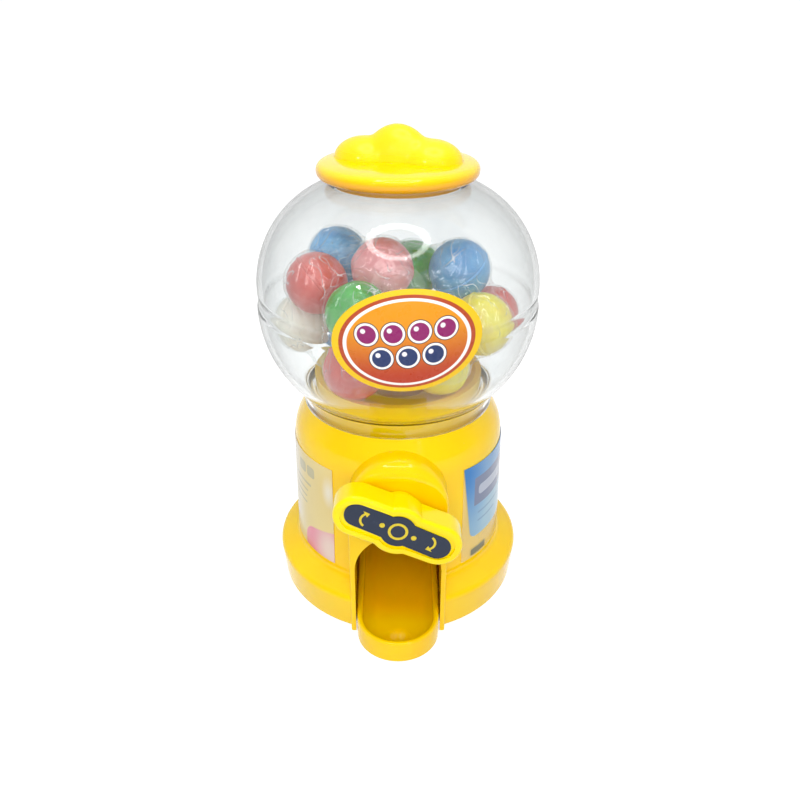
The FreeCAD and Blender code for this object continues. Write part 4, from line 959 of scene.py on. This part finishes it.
# Floor, light and camera
# A white sheet under the machine, a white tent round it, a ring lamp above its front, a large
# soft fill behind the lens, and two small sparks that draw the film's creases.

bpy.context.scene.view_settings.view_transform = "Standard"

FLOOR_GLOW = (0.65, 0.65, 0.65, 1.0)
TENT = 0.6  # the tent's own light; it looks white to the lens, and dim in front to what mirrors it
TENT_DIM = 0.35

sheet_mesh = bmesh.new()
bmesh.ops.create_grid(sheet_mesh, x_segments=2, y_segments=2, size=8.0)
sheet_data = bpy.data.meshes.new("floor")
sheet_mesh.to_mesh(sheet_data)
sheet_mesh.free()
floor = bpy.data.objects.new("floor", sheet_data)
bpy.context.scene.collection.objects.link(floor)


def floor_paper():
    """White paper that keeps the machine's shadow, and glows faintly to the lens as the tent does."""
    finish, shader, spot = start_finish("floor_paper")
    tree = finish.node_tree
    spot.cloud(3.0, 3.0).tint(paint(205, 205, 205), paint(202, 202, 202)).into(shader, "Base Color")
    shader.inputs["Roughness"].default_value = 0.9
    shader.inputs["Specular IOR Level"].default_value = 0.1
    seen = seen_by(tree, "Is Camera Ray", "Is Glossy Ray", "Is Transmission Ray")
    glow = seen.node("Emission", {}, {"Color": FLOOR_GLOW, "Strength": seen})
    paper = Value(tree, shader.outputs[0])
    seen.node("AddShader", {}, {0: paper, 1: glow}).into(tree.nodes["Material Output"], "Surface")
    return finish


sheet_data.materials.append(floor_paper())

tent = bpy.data.worlds.new("tent")
bpy.context.scene.world = tent
tent.use_nodes = True
tent_tree = tent.node_tree
tent_shader = tent_tree.nodes["Background"]
tent_shader.inputs["Color"].default_value = (1.0, 1.0, 1.0, 1.0)
seen = seen_by(tent_tree, "Is Camera Ray", "Is Transmission Ray")
mirrored = seen_by(tent_tree, "Is Glossy Ray") * (1 - seen)
toward = Value(tent_tree, tent_tree.nodes.new("ShaderNodeTexCoord").outputs["Generated"])
behind = toward.axes()[1].step(-0.35, 0.25)
mirror_light = behind * (1 - TENT_DIM) + TENT_DIM
(TENT + seen * (1 - TENT) + (mirror_light - TENT) * mirrored).into(tent_shader, "Strength")

lens = bpy.data.cameras.new("lens")
lens.lens = 36.0
lens.sensor_width = 36.0
lens.shift_x = 0.0025
lens.clip_start = 0.005
camera = bpy.data.objects.new("camera", lens)
camera.location = (0.0, -0.2038, 0.1660)
camera.rotation_euler = (math.radians(61.584), 0.0, 0.0)
bpy.context.scene.collection.objects.link(camera)
bpy.context.scene.camera = camera


def disc_lamp(name, size, energy, place, turn):
    """A round lamp that the lens doesn't see, tilted about X and then swung about Z, in degrees."""
    bulb = bpy.data.lights.new(name, "AREA")
    bulb.shape = "DISK"
    bulb.size = size
    bulb.energy = energy
    lamp = bpy.data.objects.new(name, bulb)
    tilt, swing = (math.radians(angle) for angle in turn)
    lamp.matrix_world = place @ Matrix.Rotation(swing, 4, "Z") @ Matrix.Rotation(tilt, 4, "X")
    lamp.visible_camera = False
    bpy.context.scene.collection.objects.link(lamp)
    return lamp


RING_LAMPS, RING_LIGHT, RING_RADIUS = 24, 1.25, 0.17
ring_place = Matrix.Translation((0.0, -0.159, 0.60)) @ Matrix.Rotation(math.radians(14), 4, "X")
for step in range(RING_LAMPS):
    turned = Matrix.Rotation(math.tau * step / RING_LAMPS, 4, "Z")
    place = ring_place @ turned @ Matrix.Translation((RING_RADIUS, 0.0, 0.0))
    disc_lamp(f"ring_{step}", 0.052, RING_LIGHT / RING_LAMPS, place, (0, 0))
disc_lamp("front_fill", 0.50, 2.15, Matrix.Translation((0.0, -0.60, 0.42)), (58, 0)).visible_glossy = False
disc_lamp("left_spark", 0.03, 0.12, Matrix.Translation((-0.28, -0.45, 0.33)), (65, -32))
disc_lamp("right_spark", 0.03, 0.12, Matrix.Translation((0.22, -0.50, 0.28)), (70, 24))
